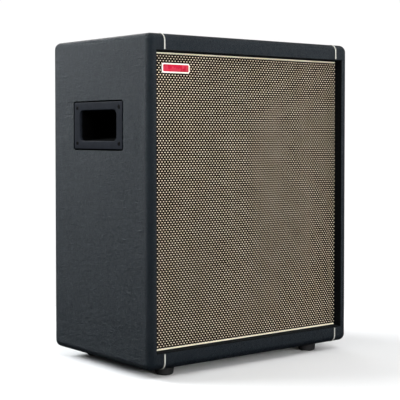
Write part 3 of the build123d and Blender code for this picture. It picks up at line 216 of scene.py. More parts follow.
class Effects:
    """The shader node groups that several finishes share."""

    def __init__(self) -> None:
        """Builds every group once."""
        self.mottle = self._mottle()
        self.pebble = self._pebble()
        self.moulded = self._moulded()
        self.brushed = self._brushed()
        self.grain = self._grain()
        self.weave = self._weave()
        self.fibre = self._fibre()
        self.wear = self._wear()
        self.dust = self._dust()

    @staticmethod
    def _mottle() -> NodeTree:
        """Two colours in soft clouds, with a finer speckle over them."""
        colours = [("Dark", "Color", None), ("Light", "Color", None)]
        inputs = [("Size", "Float", 0.04), *colours, ("Speckle", "Float", 0.3)]
        g, given, out = new_group("Mottle", inputs, [("Color", "Color")])
        fine_scale = 22.0
        scale = g.math("DIVIDE", 1.0, given["Size"])
        clouds = g.noise(given["Vector"], scale, 4.0)
        fine = g.noise(given["Vector"], g.times(scale, fine_scale), 2.0)
        speckle = g.times(g.math("SUBTRACT", fine, 0.5), given["Speckle"])
        share = g.spread(g.math("ADD", clouds, speckle), 0.3, 0.7)
        g.feed(out["Color"], g.mix(share, given["Dark"], given["Light"]))
        return g.tree

    @staticmethod
    def _pebble() -> NodeTree:
        """Rounded pebbles of uneven size with sharp valleys, as embossed vinyl has; the valley mask paints shade
        into them.
        """
        inputs = [("Size", "Float", 0.0012)]
        g, given, out = new_group("Pebble Grain", inputs, [("Height", "Float"), ("Painted Valley Shade", "Float")])
        scale = g.math("DIVIDE", 1.0, given["Size"])
        wander_reach, dome_width, dome_power = 0.9 * MM, 0.38, 0.6
        fine_scale, fine_share, uneven_scale, uneven_share = 3.1, 0.35, 0.24, 1.7
        wander = g.add("ShaderNodeTexNoise", {"Vector": given["Vector"], "Scale": scale, "Detail": 1.0})
        push = g.add("ShaderNodeVectorMath", {0: wander.outputs[1], "Scale": wander_reach}, operation="SCALE")
        keys = {"Vector": g.vector("ADD", given["Vector"], push.outputs[0]), "Scale": scale, "Randomness": 0.9}
        cells = g.add("ShaderNodeTexVoronoi", keys, feature="DISTANCE_TO_EDGE")
        rounded = g.math("POWER", g.spread(cells.outputs[0], 0.0, dome_width), dome_power)
        fine = g.noise(given["Vector"], g.times(scale, fine_scale), 2.0)
        uneven = g.noise(given["Vector"], g.times(scale, uneven_scale), 2.0)
        total = g.math("ADD", rounded, g.times(fine, fine_share))
        total = g.math("ADD", total, g.times(uneven, uneven_share))
        g.feed(out["Height"], total)
        g.feed(out["Painted Valley Shade"], g.math("SUBTRACT", 1.0, rounded))
        return g.tree

    @staticmethod
    def _moulded() -> NodeTree:
        """The fine spark texture of a moulded part, with a faint flow over it."""
        inputs = [("Size", "Float", 0.0005)]
        g, given, out = new_group("Moulded Texture", inputs, [("Height", "Float")])
        scale = g.math("DIVIDE", 1.0, given["Size"])
        broad_scale, broad_share = 0.06, 0.5
        fine = g.noise(given["Vector"], scale, 3.0, 0.6)
        broad = g.noise(given["Vector"], g.times(scale, broad_scale), 2.0)
        g.feed(out["Height"], g.math("ADD", fine, g.times(broad, broad_share)))
        return g.tree

    @staticmethod
    def _brushed() -> NodeTree:
        """Long fine scratches along one axis: Stretch is small along it."""
        inputs = [("Size", "Float", 0.0004), ("Stretch", "Vector", (0.02, 1.0, 1.0))]
        g, given, out = new_group("Brushed Lines", inputs, [("Height", "Float")])
        drawn = g.vector("MULTIPLY", given["Vector"], given["Stretch"])
        scale = g.math("DIVIDE", 1.0, given["Size"])
        g.feed(out["Height"], g.noise(drawn, scale, 4.0, 0.7))
        return g.tree

    @staticmethod
    def _grain() -> NodeTree:
        """Growth rings and pores of a board: Stretch is small along the grain."""
        inputs = [("Size", "Float", 0.012), ("Stretch", "Vector", (0.08, 1.0, 1.0))]
        g, given, out = new_group("Wood Grain", inputs, [("Height", "Float"), ("Ring", "Float")])
        drawn = g.vector("MULTIPLY", given["Vector"], given["Stretch"])
        scale = g.math("DIVIDE", 1.0, given["Size"])
        bend_scale, ring_turns, ring_height, pore_scale = 0.4, 42.0, 0.15, 24.0
        bend = g.noise(drawn, g.times(scale, bend_scale), 2.0)
        rings = g.math("SINE", g.times(bend, ring_turns))
        pores = g.noise(drawn, g.times(scale, pore_scale), 2.0, 0.7)
        g.feed(out["Ring"], g.spread(rings, -1.0, 1.0))
        g.feed(out["Height"], g.math("ADD", g.times(rings, ring_height), pores))
        return g.tree

    @staticmethod
    def _weave() -> NodeTree:
        """Plain over-and-under threads across the X and Z axes."""
        inputs = [("Pitch", "Float", 0.0009)]
        g, given, out = new_group("Plain Weave", inputs, [("Height", "Float"), ("Thread", "Float")])
        x, y, z = g.axes(given["Vector"])
        turns = g.math("DIVIDE", 2 * math.pi, given["Pitch"])
        along = g.math("ADD", x, y)
        across = g.math("SINE", g.times(along, turns))
        upward = g.math("SINE", g.times(z, turns))
        crossing = g.times(across, upward)
        fuzz_scale, fuzz_share = 0.9, 0.7
        fuzz = g.noise(given["Vector"], g.times(turns, fuzz_scale))
        g.feed(out["Height"], g.math("ADD", crossing, g.times(fuzz, fuzz_share)))
        g.feed(out["Thread"], g.spread(crossing, -1.0, 1.0))
        return g.tree

    @staticmethod
    def _fibre() -> NodeTree:
        """Short felted fibres, as in pressed paper, felt and cord."""
        inputs = [("Size", "Float", 0.0008)]
        g, given, out = new_group("Felted Fibre", inputs, [("Height", "Float")])
        scale = g.math("DIVIDE", 1.0, given["Size"])
        keys = {"Vector": given["Vector"], "Scale": scale, "Detail": 4.0, "Distortion": 2.5}
        g.feed(out["Height"], g.add("ShaderNodeTexNoise", keys).outputs[0])
        return g.tree

    @staticmethod
    def _wear() -> NodeTree:
        """A mask along convex edges, broken up by noise."""
        inputs = [("Radius", "Float", 0.0015), ("Amount", "Float", 0.5), ("Size", "Float", 0.006)]
        g, given, out = new_group("Edge Wear", inputs, [("Mask", "Float")])
        softened = g.add("ShaderNodeBevel", {"Radius": given["Radius"]}, samples=4)
        plain = g.add("ShaderNodeNewGeometry")
        keys = {0: softened.outputs[0], 1: plain.outputs["Normal"]}
        together = g.add("ShaderNodeVectorMath", keys, operation="DOT_PRODUCT")
        flat, sharp = 0.995, 0.9
        edge = g.spread(together.outputs["Value"], flat, sharp)
        patches = g.noise(given["Vector"], g.math("DIVIDE", 1.0, given["Size"]), 4.0, 0.65)
        broken = g.spread(patches, 0.42, 0.62)
        g.feed(out["Mask"], g.times(g.times(edge, broken), given["Amount"], clamp=True))
        return g.tree

    @staticmethod
    def _dust() -> NodeTree:
        """A thin mask on faces that look up, patchy and finely speckled."""
        inputs = [("Amount", "Float", 0.1)]
        g, given, out = new_group("Settled Dust", inputs, [("Mask", "Float")])
        plain = g.add("ShaderNodeNewGeometry")
        patch_scale, speck_scale = 28.0, 900.0
        lift = g.axes(plain.outputs["Normal"])[2]
        facing = g.spread(lift, 0.3, 1.0)
        patches = g.spread(g.noise(given["Vector"], patch_scale, 4.0), 0.35, 0.7)
        specks = g.spread(g.noise(given["Vector"], speck_scale, 1.0), 0.55, 0.75)
        covered = g.math("ADD", g.times(patches, 0.6), g.times(specks, 0.5))
        g.feed(out["Mask"], g.times(g.times(facing, covered), given["Amount"], clamp=True))
        return g.tree


# ---- finishes
@dataclass(frozen=True)
class Finish:
    """One surface finish, and how its material is built."""

    name: str
    dark: Colour
    light: Colour
    roughness: float = 0.5
    roughness_spread: float = 0.08
    metallic: float = 0.0
    specular: float = 0.5
    tint: Colour = WHITE
    coat: float = 0.0
    sheen: float = 0.0
    clear: float = 0.0
    pattern: Pattern = Pattern.MOULDED
    along: Axis = Axis.X
    size: float = 0.0006
    depth: float = 0.00002
    cloud: float = 0.01
    speckle: float = 0.3
    wear: float = 0.0
    wear_colour: Colour = (0.2, 0.2, 0.2)
    wear_radius: float = 0.0012
    dust: float = 0.0
    # Painted shade: how far inside the cabinet's side a handle's pocket turns near black.
    hollow: float = 0.0
    # Painted shade: how far round the grille's cloth the vinyl of the reveal turns near black.
    recess: float = 0.0
    made: dict[str, Material] = field(default_factory=dict, compare=False, repr=False)

    def relief(self, graph: Graph, effects: Effects, vector: Any) -> tuple[Any, Any]:
        """Adds the finish's pattern.

        Args:
            graph: The material's graph.
            effects: The shared node groups.
            vector: The coordinates that the pattern follows.

        Returns:
            The height, and a mask that darkens the colour (painted shade in pebble valleys, the pattern's own darker
            tone in wood rings and weave), or None for a pattern without one.
        """
        stretch = [1.0, 1.0, 1.0]
        stretch[self.along.value] = DRAWN_OUT
        groups = {
            Pattern.PEBBLE: (effects.pebble, {"Size": self.size}, "Painted Valley Shade"),
            Pattern.MOULDED: (effects.moulded, {"Size": self.size}, None),
            Pattern.BRUSHED: (effects.brushed, {"Size": self.size, "Stretch": stretch}, None),
            Pattern.GRAIN: (effects.grain, {"Size": self.size, "Stretch": stretch}, "Ring"),
            Pattern.WEAVE: (effects.weave, {"Pitch": self.size}, "Thread"),
            Pattern.FIBRE: (effects.fibre, {"Size": self.size}, None),
        }
        tree, values, mask = groups[self.pattern]
        outputs = graph.group(tree, {"Vector": vector, **values})
        return outputs["Height"], outputs[mask] if mask else None

    def material(self, effects: Effects) -> Material:
        """Builds the material once.

        Args:
            effects: The shared node groups.

        Returns:
            The material.
        """
        if self.name in self.made:
            return self.made[self.name]
        made = bpy.data.materials.new(self.name)
        made.use_nodes = True
        made.node_tree.nodes.clear()
        graph = Graph(made.node_tree)
        where = graph.add("ShaderNodeTexCoord").outputs["Object"]
        keys = {"Vector": where, "Size": self.cloud, "Dark": self.dark, "Light": self.light, "Speckle": self.speckle}
        colour = graph.group(effects.mottle, keys)[0]
        height, mask = self.relief(graph, effects, where)
        # Pebble valleys are darkened as painted shade; wood rings and weave threads take their own darker tone.
        if mask is not None:
            shade = tuple(channel * VALLEY_SHADE for channel in self.dark)
            colour = graph.mix(graph.times(mask, VALLEY_SHARE), colour, shade)
        least, most = self.roughness - self.roughness_spread, self.roughness + self.roughness_spread
        rough = graph.spread(graph.noise(where, 1.0 / self.cloud * GLOSS_CLOUDS), 0.3, 0.7, least, most)
        if self.wear:
            keys = {"Vector": where, "Amount": self.wear, "Radius": self.wear_radius}
            colour = graph.mix(graph.group(effects.wear, keys)[0], colour, self.wear_colour)
        if self.dust:
            keys = {"Vector": where, "Amount": self.dust}
            colour = graph.mix(graph.group(effects.dust, keys)[0], colour, DUST_COLOUR)
        # Painted shade: coordinate masks darken a handle's pocket and the vinyl round the grille's opening to near
        # black, standing in for the shade that falls there.
        if self.hollow:
            colour, rough = self.darkened(graph, self.behind_sides(graph, where), colour, rough, POCKET_SHADE_COLOUR)
        if self.recess:
            colour, rough = self.darkened(graph, self.within_grille(graph, where), colour, rough, REVEAL_SHADE_COLOUR)
        bump = graph.add("ShaderNodeBump", {"Height": height, "Distance": self.depth, "Strength": 1.0})
        values = {
            "Base Color": colour,
            "Roughness": rough,
            "Metallic": self.metallic,
            "Specular IOR Level": self.specular,
            "Specular Tint": self.tint,
            "Coat Weight": self.coat,
            "Coat Roughness": COAT_ROUGHNESS,
            "Sheen Weight": self.sheen,
            "Transmission Weight": self.clear,
            "Normal": bump.outputs[0],
        }
        shader = graph.add("ShaderNodeBsdfPrincipled", values)
        graph.add("ShaderNodeOutputMaterial", {"Surface": shader.outputs[0]})
        self.made[self.name] = made
        return made

    @staticmethod
    def darkened(graph: Graph, mask: Any, colour: Any, rough: Any, shade: Colour) -> tuple[Any, Any]:
        """Paints shade: darkens the colour under a mask to near black and takes its gloss away."""
        return graph.mix(mask, colour, shade), graph.math("MAXIMUM", rough, mask)

    def behind_sides(self, graph: Graph, where: Any) -> NodeSocket:
        """A mask of painted shade: what lies deeper than the set depth behind the cabinet's sides, the inside of a
        handle's pocket.
        """
        side = graph.math("ABSOLUTE", graph.axes(where)[0])
        outer = CAD_BOX[1].x
        return graph.spread(side, outer - POCKET_SHADE_FADE * self.hollow, outer - self.hollow, 1.0, 0.0)

    def within_grille(self, graph: Graph, where: Any) -> NodeSocket:
        """A mask of painted shade: the grille's opening and a narrow band of vinyl round it, the walls of the
        reveal.
        """
        low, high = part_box("grille_cloth")
        x, _, z = graph.axes(where)
        side = graph.math("SUBTRACT", graph.math("ABSOLUTE", x), high.x)
        rise = graph.math("ABSOLUTE", graph.math("SUBTRACT", z, (low.z + high.z) / 2))
        rise = graph.math("SUBTRACT", rise, (high.z - low.z) / 2)
        outside = graph.math("MAXIMUM", side, rise)
        return graph.spread(outside, self.recess, REVEAL_SHADE_FADE * self.recess, 1.0, 0.0)


# The vinyl lining the grille's reveal is painted near black: painted shade.
VINYL = Finish(
    "pebbled_vinyl", (0.0026, 0.0046, 0.0074), (0.0054, 0.0088, 0.0132), 0.355, specular=0.2,
    tint=(0.80, 0.92, 1.0), recess=0.0022, pattern=Pattern.PEBBLE, size=0.0016, depth=0.0005, cloud=0.012,
    speckle=0.9, wear=0.1, wear_colour=(0.05, 0.054, 0.057), wear_radius=0.002, dust=0.03,
)
PIPING = Finish(
    "seam_piping", (0.54, 0.54, 0.48), (0.72, 0.72, 0.65), 0.6, sheen=0.1, pattern=Pattern.WEAVE, size=0.0007,
    depth=0.00006,
)
EDGE_CORD = Finish(
    "cream_edge_cord", (0.88, 0.78, 0.58), (0.96, 0.88, 0.72), 0.65, sheen=0.15, pattern=Pattern.WEAVE, size=0.0008,
    depth=0.00007, cloud=0.02,
)
CLOTH = Finish(
    "dark_grille_cloth", (0.005, 0.003, 0.0015), (0.016, 0.009, 0.004), 0.9, specular=0.1, pattern=Pattern.WEAVE,
    size=0.00091, depth=0.00018, cloud=0.03,
)
FLOAT_THREAD = Finish(
    "cream_float_thread", (0.83, 0.70, 0.50), (0.96, 0.86, 0.68), 0.42, specular=0.6, pattern=Pattern.FIBRE,
    depth=0.00005, cloud=0.03, speckle=0.4,
)
BADGE_RIM = Finish(
    "cream_enamel", (0.76, 0.73, 0.67), (0.88, 0.86, 0.81), 0.3, coat=0.4, size=0.002, cloud=0.05, wear=0.3,
    wear_colour=(0.5, 0.47, 0.4), wear_radius=0.0004,
)
BADGE_FIELD = Finish(
    "red_enamel", (0.38, 0.008, 0.028), (0.50, 0.012, 0.040), 0.28, coat=0.5, size=0.0015, cloud=0.02,
)
# The inside of each handle's pocket is painted near black: painted shade.
HANDLE_PLASTIC = Finish(
    "handle_plastic", (0.008, 0.0097, 0.0140), (0.0117, 0.014, 0.0195), 0.55, specular=0.042, hollow=0.0022,
    size=0.0007, depth=0.00006, cloud=0.02, wear=0.4, wear_colour=(0.07, 0.073, 0.085), wear_radius=0.0008,
    dust=0.05,
)
BLACK_SCREW = Finish(
    "black_screw", (0.0015, 0.0015, 0.0018), (0.004, 0.004, 0.0045), specular=0.03, size=0.0004, cloud=0.005,
    wear=0.15, wear_colour=(0.12, 0.12, 0.12), wear_radius=0.0003,
)
ZINC = Finish("zinc_plate", (0.42, 0.42, 0.40), (0.62, 0.62, 0.60), 0.35, metallic=1.0, pattern=Pattern.BRUSHED)
RUBBER = Finish(
    "foot_rubber", (0.008, 0.008, 0.0085), (0.017, 0.017, 0.018), 0.72, specular=0.4, size=0.0009, depth=0.00008,
    cloud=0.015, wear=0.35, wear_colour=(0.06, 0.058, 0.055), wear_radius=0.001, dust=0.1,
)
PLYWOOD = Finish(
    "birch_plywood", (0.52, 0.36, 0.20), (0.72, 0.56, 0.36), 0.62, pattern=Pattern.GRAIN, along=Axis.Z, size=0.014,
    depth=0.00005, cloud=0.06,
)
BLACK_BOARD = Finish(
    "black_board", (0.0015, 0.0015, 0.0015), (0.004, 0.004, 0.004), 0.8, specular=0.01, pattern=Pattern.GRAIN,
    along=Axis.Z, size=0.01, depth=0.00005, cloud=0.05,
)
REAR_PAINT = Finish(
    "textured_rear_paint", (0.010, 0.0105, 0.0115), (0.020, 0.021, 0.023), 0.62, size=0.0016, depth=0.00022,
    cloud=0.05, wear=0.3, wear_colour=(0.10, 0.09, 0.07), dust=0.06,
)
PANEL_PAINT = Finish(
    "powder_coated_plate", (0.012, 0.0125, 0.0135), (0.021, 0.022, 0.024), 0.45, size=0.0005, depth=0.00005,
    cloud=0.03, wear=0.35, wear_colour=(0.25, 0.25, 0.26), wear_radius=0.0006, dust=0.04,
)
PRINT = Finish(
    "panel_print", (0.62, 0.62, 0.60), (0.80, 0.80, 0.78), pattern=Pattern.FIBRE, size=0.0005, depth=0.00001,
)
ANODISED = Finish(
    "black_anodised", (0.014, 0.014, 0.016), (0.026, 0.026, 0.029), 0.38, metallic=0.7, pattern=Pattern.BRUSHED,
    along=Axis.Z, size=0.0005, depth=0.00003, cloud=0.02, wear=0.5, wear_colour=(0.35, 0.35, 0.36),
    wear_radius=0.0004, dust=0.05,
)
KNOB = Finish(
    "knob_plastic", (0.009, 0.009, 0.010), (0.016, 0.016, 0.018), 0.35, coat=0.15, size=0.0004, depth=0.00003,
    wear=0.3, wear_colour=(0.06, 0.06, 0.062), wear_radius=0.0004,
)
IVORY = Finish("ivory_button", (0.62, 0.58, 0.47), (0.74, 0.71, 0.61), 0.32, coat=0.3, cloud=0.004)
NYLON = Finish(
    "socket_nylon", (0.009, 0.009, 0.0095), (0.017, 0.017, 0.018), depth=0.00004, wear=0.3,
    wear_colour=(0.06, 0.06, 0.06), wear_radius=0.0005,
)
ROCKER = Finish(
    "rocker_gloss", (0.008, 0.008, 0.009), (0.013, 0.013, 0.014), 0.22, coat=0.5, size=0.001, depth=0.00001,
)
LENS = Finish(
    "light_lens", (0.55, 0.02, 0.015), (0.80, 0.05, 0.03), 0.15, coat=0.6, clear=0.35, size=0.002, depth=0.00001,
    cloud=0.004,
)
COATED_STEEL = Finish(
    "coated_steel", (0.014, 0.014, 0.014), (0.026, 0.026, 0.026), metallic=0.3, size=0.0008, depth=0.00006,
    cloud=0.03,
)
FERRITE = Finish("ferrite", (0.045, 0.046, 0.05), (0.08, 0.08, 0.085), 0.7, size=0.0008, depth=0.00008, cloud=0.02)
PAPER = Finish(
    "pressed_paper", (0.018, 0.017, 0.016), (0.036, 0.034, 0.031), 0.85, sheen=0.2, pattern=Pattern.FIBRE,
    size=0.0012, depth=0.00012, cloud=0.02,
)
SPIDER = Finish(
    "stiffened_cloth", (0.40, 0.27, 0.08), (0.55, 0.40, 0.16), 0.6, pattern=Pattern.WEAVE, size=0.0008,
    depth=0.00008, cloud=0.02,
)
COPPER = Finish(
    "enamelled_copper", (0.45, 0.17, 0.07), (0.62, 0.27, 0.12), 0.3, metallic=1.0, pattern=Pattern.BRUSHED,
    size=0.0003, depth=0.00003,
)
PHENOLIC = Finish("phenolic_strip", (0.16, 0.08, 0.03), (0.26, 0.14, 0.06), pattern=Pattern.WEAVE, depth=0.00003)
SHEET_STEEL = Finish(
    "galvanised_sheet", (0.38, 0.39, 0.40), (0.56, 0.57, 0.58), 0.42, metallic=0.9, pattern=Pattern.BRUSHED,
    size=0.004, depth=0.00003, cloud=0.012, speckle=1.2,
)
SOLDER_MASK = Finish(
    "green_solder_mask", (0.015, 0.10, 0.04), (0.03, 0.17, 0.07), 0.35, coat=0.3, size=0.0012, depth=0.00003,
)
BRASS = Finish(
    "brass", (0.50, 0.34, 0.11), (0.66, 0.48, 0.20), 0.32, metallic=1.0, pattern=Pattern.BRUSHED, size=0.0005,
)
AMBER_FILM = Finish("amber_film", (0.45, 0.24, 0.05), (0.62, 0.36, 0.10), 0.25, coat=0.3, size=0.002)
HOOK_TAPE = Finish(
    "hook_tape", (0.010, 0.010, 0.010), (0.022, 0.022, 0.022), 0.9, sheen=0.3, pattern=Pattern.FIBRE, depth=0.0002,
)
LEAD = Finish("lead_insulation", (0.010, 0.010, 0.011), (0.018, 0.018, 0.019), 0.4, size=0.0009, depth=0.00003)

NODE_FINISHES: dict[Finish, tuple[str, ...]] = {
    VINYL: ("vinyl_covering",),
    PIPING: ("corner_piping",),
    EDGE_CORD: ("grille_edge_strips",),
    PLYWOOD: ("top_panel", "bottom_panel", "front_rails", "mounting_cleats"),
    BLACK_BOARD: ("side_panel_left", "side_panel_right", "baffle_board", "grille_stiles", "grille_rails"),
    REAR_PAINT: ("rear_panel",),
    PANEL_PAINT: ("amp_plate",),
    ANODISED: ("heatsink",),
    BADGE_RIM: ("badge_bezel",),
    BADGE_FIELD: ("badge_inlay",),
    HANDLE_PLASTIC: ("handle_left", "handle_right"),
    BLACK_SCREW: ("handle_screws", "baffle_screws", "horn_screws", "rear_panel_screws", "amp_plate_screws"),
    ZINC: ("foot_screws", "woofer_fixings", "woofer_top_plate", "woofer_yoke", "control_housings"),
    RUBBER: ("rubber_feet", "woofer_gasket", "woofer_surround"),
    COATED_STEEL: ("woofer_basket", "horn_driver"),
    FERRITE: ("woofer_magnet",),
    PAPER: ("woofer_cone", "woofer_dust_cap"),
    SPIDER: ("woofer_spider",),
    COPPER: ("woofer_voice_coil",),
    PHENOLIC: ("woofer_terminals",),
    NYLON: ("horn_flare", "port_tubes", "jack_sockets", "mains_inlet", "power_switch_housing"),
    AMBER_FILM: ("horn_diaphragm",),
    SHEET_STEEL: ("amp_cover",),
    SOLDER_MASK: ("amplifier_board", "power_supply_board"),
    BRASS: ("board_standoffs",),
    KNOB: ("volume_knob", "bass_knob", "treble_knob", "voicing_knob"),
    IVORY: ("ground_lift_button",),
    ROCKER: ("power_rocker",),
    LENS: ("status_light",),
    HOOK_TAPE: ("grille_pads",),
    LEAD: ("speaker_leads",),
}


# ---- meshes
def place(name: str, data: ID) -> Object:
    """Makes an object of a mesh, curve, light or camera, and links it to the scene."""
    made = bpy.data.objects.new(name, data)
    bpy.context.scene.collection.objects.link(made)
    return made


def baked(body: bmesh.types.BMesh, name: str) -> Mesh:
    """Turns an edited mesh into a plain one, and frees it."""
    mesh = bpy.data.meshes.new(name)
    body.to_mesh(mesh)
    body.free()
    return mesh


def set_smooth(mesh: Mesh, smooth: bool) -> None:
    """Makes every face of a mesh smooth or flat."""
    mesh.polygons.foreach_set("use_smooth", [smooth] * len(mesh.polygons))


def new_piece(name: str, mesh: Mesh, body: str) -> Object:
    """Links a mesh as a finished piece.

    Args:
        name: The piece's name.
        mesh: Its mesh, already in place.
        body: The body that it rides on.

    Returns:
        The piece.
    """
    piece = place(name, mesh)
    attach(piece, body)
    return piece


def settle(source: Object, name: str) -> Mesh:
    """Turns an object with modifiers into one plain mesh, and removes the object.

    Args:
        source: The object whose modifiers are applied.
        name: The mesh's name.

    Returns:
        The plain mesh.
    """
    bpy.context.view_layer.update()
    graph = bpy.context.evaluated_depsgraph_get()
    mesh = bpy.data.meshes.new_from_object(source.evaluated_get(graph), depsgraph=graph)
    mesh.name = name
    bpy.data.objects.remove(source)
    return mesh


class GeometryTree:
    """A Geometry Nodes tree with named inputs, run once on an empty mesh."""

    def __init__(self, name: str, inputs: dict[str, Any]) -> None:
        """Starts the tree.

        Args:
            name: The tree's name.
            inputs: Each input's value, by name: a whole number, a number or a vector.
        """
        self.tree = bpy.data.node_groups.new(name, "GeometryNodeTree")
        self.tree.interface.new_socket("Geometry", in_out="OUTPUT", socket_type="NodeSocketGeometry")
        self.keys: dict[str, Any] = {}
        kinds = {int: "NodeSocketInt", float: "NodeSocketFloat", tuple: "NodeSocketVector"}
        for label, value in inputs.items():
            socket = self.tree.interface.new_socket(label, in_out="INPUT", socket_type=kinds[type(value)])
            self.keys[socket.identifier] = value
        self.graph = Graph(self.tree)
        self.given = self.graph.add("NodeGroupInput").outputs

    def finish(self, geometry: NodeSocket, material: Material, name: str) -> Mesh:
        """Ends the tree in Realize Instances and Set Material, and runs it.

        Args:
            geometry: The instances.
            material: The material of the result.
            name: The mesh's name.

        Returns:
            The plain mesh.
        """
        real = self.graph.add("GeometryNodeRealizeInstances", {0: geometry})
        dressed = self.graph.add("GeometryNodeSetMaterial", {"Geometry": real.outputs[0], "Material": material})
        smooth = self.graph.add("GeometryNodeSetShadeSmooth", {0: dressed.outputs[0]})
        self.graph.add("NodeGroupOutput", {0: smooth.outputs[0]})
        carrier = place(name, bpy.data.meshes.new(name))
        modifier = carrier.modifiers.new(name, "NODES")
        modifier.node_group = self.tree
        for identifier, value in self.keys.items():
            modifier[identifier] = value
        mesh = settle(carrier, name)
        if not mesh.materials:
            mesh.materials.append(material)
        return mesh


# ---- sub-assemblies
@dataclass
class CadDress:
    """Gives every carried-over CAD node its finish and smooth shading."""

    effects: Effects
    weld: float = 0.01 * MM
    crease: float = math.radians(32)

    def dress(self, name: str, finish: Finish) -> None:
        """Puts a finish on one node and smooths its curved faces.

        Args:
            name: The node's name.
            finish: The finish to give it.
        """
        node = frame["nodes"][name]
        node.data.materials.clear()
        node.data.materials.append(finish.material(self.effects))
        set_smooth(node.data, smooth=True)
        merged = node.modifiers.new("merge", "WELD")
        merged.merge_threshold = self.weld
        split = node.modifiers.new("creases", "EDGE_SPLIT")
        split.split_angle = self.crease

    def dress_all(self) -> None:
        """Dresses every node in the finish table."""
        for finish, names in NODE_FINISHES.items():
            for name in names:
                self.dress(name, finish)
            LOG.info("%s on %s", finish.name, ", ".join(names))


@dataclass
class Grille:
    """The recessed cloth and its raised cream threads."""

    effects: Effects
    pitch_x: float = 5.78 * MM
    pitch_z: float = 3.64 * MM
    float_length: float = 2.75 * MM
    float_height: float = 1.62 * MM
    float_bulge: float = 0.55 * MM
    margin: float = 1.2 * MM
    wrap: float = 9.0 * MM
    cells_across: int = 60
    cells_up: int = 70
    slack: float = 0.12 * MM
    cloth_sink: float = 0.3 * MM
    thread_sink: float = 0.2 * MM
    thread_jitter: tuple[float, float, float] = (0.04 * MM, 0.0, 0.03 * MM)
    thread_change: float = 0.05
    thread_facets: tuple[int, int] = (8, 4)
    bands: int = 4
    seed: int = 7

    def cloth_mesh(self) -> Mesh:
        """Builds the cloth: a flat front that turns back round the frame's edges.

        Returns:
            The cloth's mesh, one surface thick.
        """
        low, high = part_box("grille_cloth")
        body = bmesh.new()
        rows = []
        for j in range(-1, self.cells_up + 2):
            row = []
            v = min(max(j, 0), self.cells_up) / self.cells_up
            for i in range(-1, self.cells_across + 2):
                u = min(max(i, 0), self.cells_across) / self.cells_across
                folded = i in (-1, self.cells_across + 1) or j in (-1, self.cells_up + 1)
                sink = self.slack * math.sin(math.pi * u) * math.sin(math.pi * v)
                y = low.y + (self.wrap if folded else self.cloth_sink + sink)
                row.append(body.verts.new((low.x + (high.x - low.x) * u, y, low.z + (high.z - low.z) * v)))
            rows.append(row)
        for lower, upper in zip(rows, rows[1:]):
            for a, b, c, d in zip(lower, lower[1:], upper[1:], upper):
                body.faces.new((a, b, c, d))
        bmesh.ops.recalc_face_normals(body, faces=body.faces)
        return baked(body, "grille_cloth_sheet")

    def build_cloth(self) -> Object:
        """Makes the cloth piece, which stands for the CAD cloth.

        Returns:
            The piece.
        """
        piece = new_piece("grille_cloth_sheet", self.cloth_mesh(), "cabinet")
        piece.data.materials.append(CLOTH.material(self.effects))
        set_smooth(piece.data, smooth=True)
        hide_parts("grille_cloth")
        return piece

    def float_tree(self, name: str, corner: Vector, columns: int, rows: int) -> Mesh:
        """Lays a staggered field of raised threads.

        Args:
            name: The mesh's name.
            corner: The lowest thread's middle, on the cloth.
            columns: Threads in a row.
            rows: Rows upwards.

        Returns:
            The threads as one mesh.
        """
        inputs = {
            "Columns": columns,
            "Rows": rows,
            "Pitch Across": self.pitch_x,
            "Pitch Up": self.pitch_z,
            "Corner": tuple(corner),
            "Thread Size": (self.float_length / 2, self.float_bulge, self.float_height / 2),
            "Seed": self.seed,
        }
        tree = GeometryTree(name, inputs)
        g, given = tree.graph, tree.given
        total = g.times(given["Columns"], given["Rows"])
        points = g.add("GeometryNodePoints", {"Count": total})
        index = g.add("GeometryNodeInputIndex").outputs[0]
        row = g.math("FLOOR", g.math("DIVIDE", g.math("ADD", index, 0.5), given["Columns"]))
        column = g.math("SUBTRACT", index, g.times(row, given["Columns"]))
        stagger = g.times(g.math("MODULO", row, 2.0), 0.5)
        across = g.times(g.math("ADD", column, stagger), given["Pitch Across"])
        upward = g.times(row, given["Pitch Up"])
        spot = g.add("ShaderNodeCombineXYZ", {0: across, 1: 0.0, 2: upward}).outputs[0]
        spot = g.vector("ADD", spot, given["Corner"])
        most = Vector(self.thread_jitter)
        spot = g.vector("ADD", spot, g.random(given["Seed"], tuple(-most), tuple(most)))
        moved = g.add("GeometryNodeSetPosition", {"Geometry": points.outputs[0], "Position": spot})
        segments, rings = self.thread_facets
        dome = g.add("GeometryNodeMeshUVSphere", {"Segments": segments, "Rings": rings, "Radius": 1.0})
        turned = g.add("GeometryNodeTransform", {"Geometry": dome.outputs[0], "Rotation": (0.0, math.pi / 2, 0.0)})
        shaped = g.add("GeometryNodeTransform", {"Geometry": turned.outputs[0], "Scale": given["Thread Size"]})
        least, largest = (1.0 - self.thread_change,) * 3, (1.0 + self.thread_change,) * 3
        vary = g.random(g.math("ADD", given["Seed"], 1.0), least, largest)
        keys = {"Points": moved.outputs[0], "Instance": shaped.outputs[0], "Scale": vary}
        placed = g.add("GeometryNodeInstanceOnPoints", keys)
        return tree.finish(placed.outputs[0], FLOAT_THREAD.material(self.effects), name)

    def build_floats(self) -> None:
        """Makes the raised threads in bands, each light enough for one piece."""
        low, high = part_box("grille_cloth")
        width = high.x - low.x - 2 * self.margin - self.float_length
        height = high.z - low.z - 2 * self.margin - self.float_height
        columns = int(width / self.pitch_x) + 1
        rows = int(height / self.pitch_z) + 1
        start_x = (low.x + high.x) / 2 - (columns - 0.5) * self.pitch_x / 2
        start_z = (low.z + high.z) / 2 - (rows - 1) * self.pitch_z / 2
        done = 0
        for band in range(self.bands):
            count = rows // self.bands + (1 if band < rows % self.bands else 0)
            count += (count % 2) if band < self.bands - 1 else 0
            count = min(count, rows - done)
            corner = Vector((start_x, low.y + self.thread_sink, start_z + done * self.pitch_z))
            mesh = self.float_tree(f"grille_threads_{band + 1}", corner, columns, count)
            new_piece(mesh.name, mesh, "cabinet")
            LOG.info("%s: %d rows of %d, %d faces", mesh.name, count, columns, len(mesh.polygons))
            done += count

    def build(self) -> None:
        """Makes the cloth and the threads."""
        self.build_cloth()
        self.build_floats()


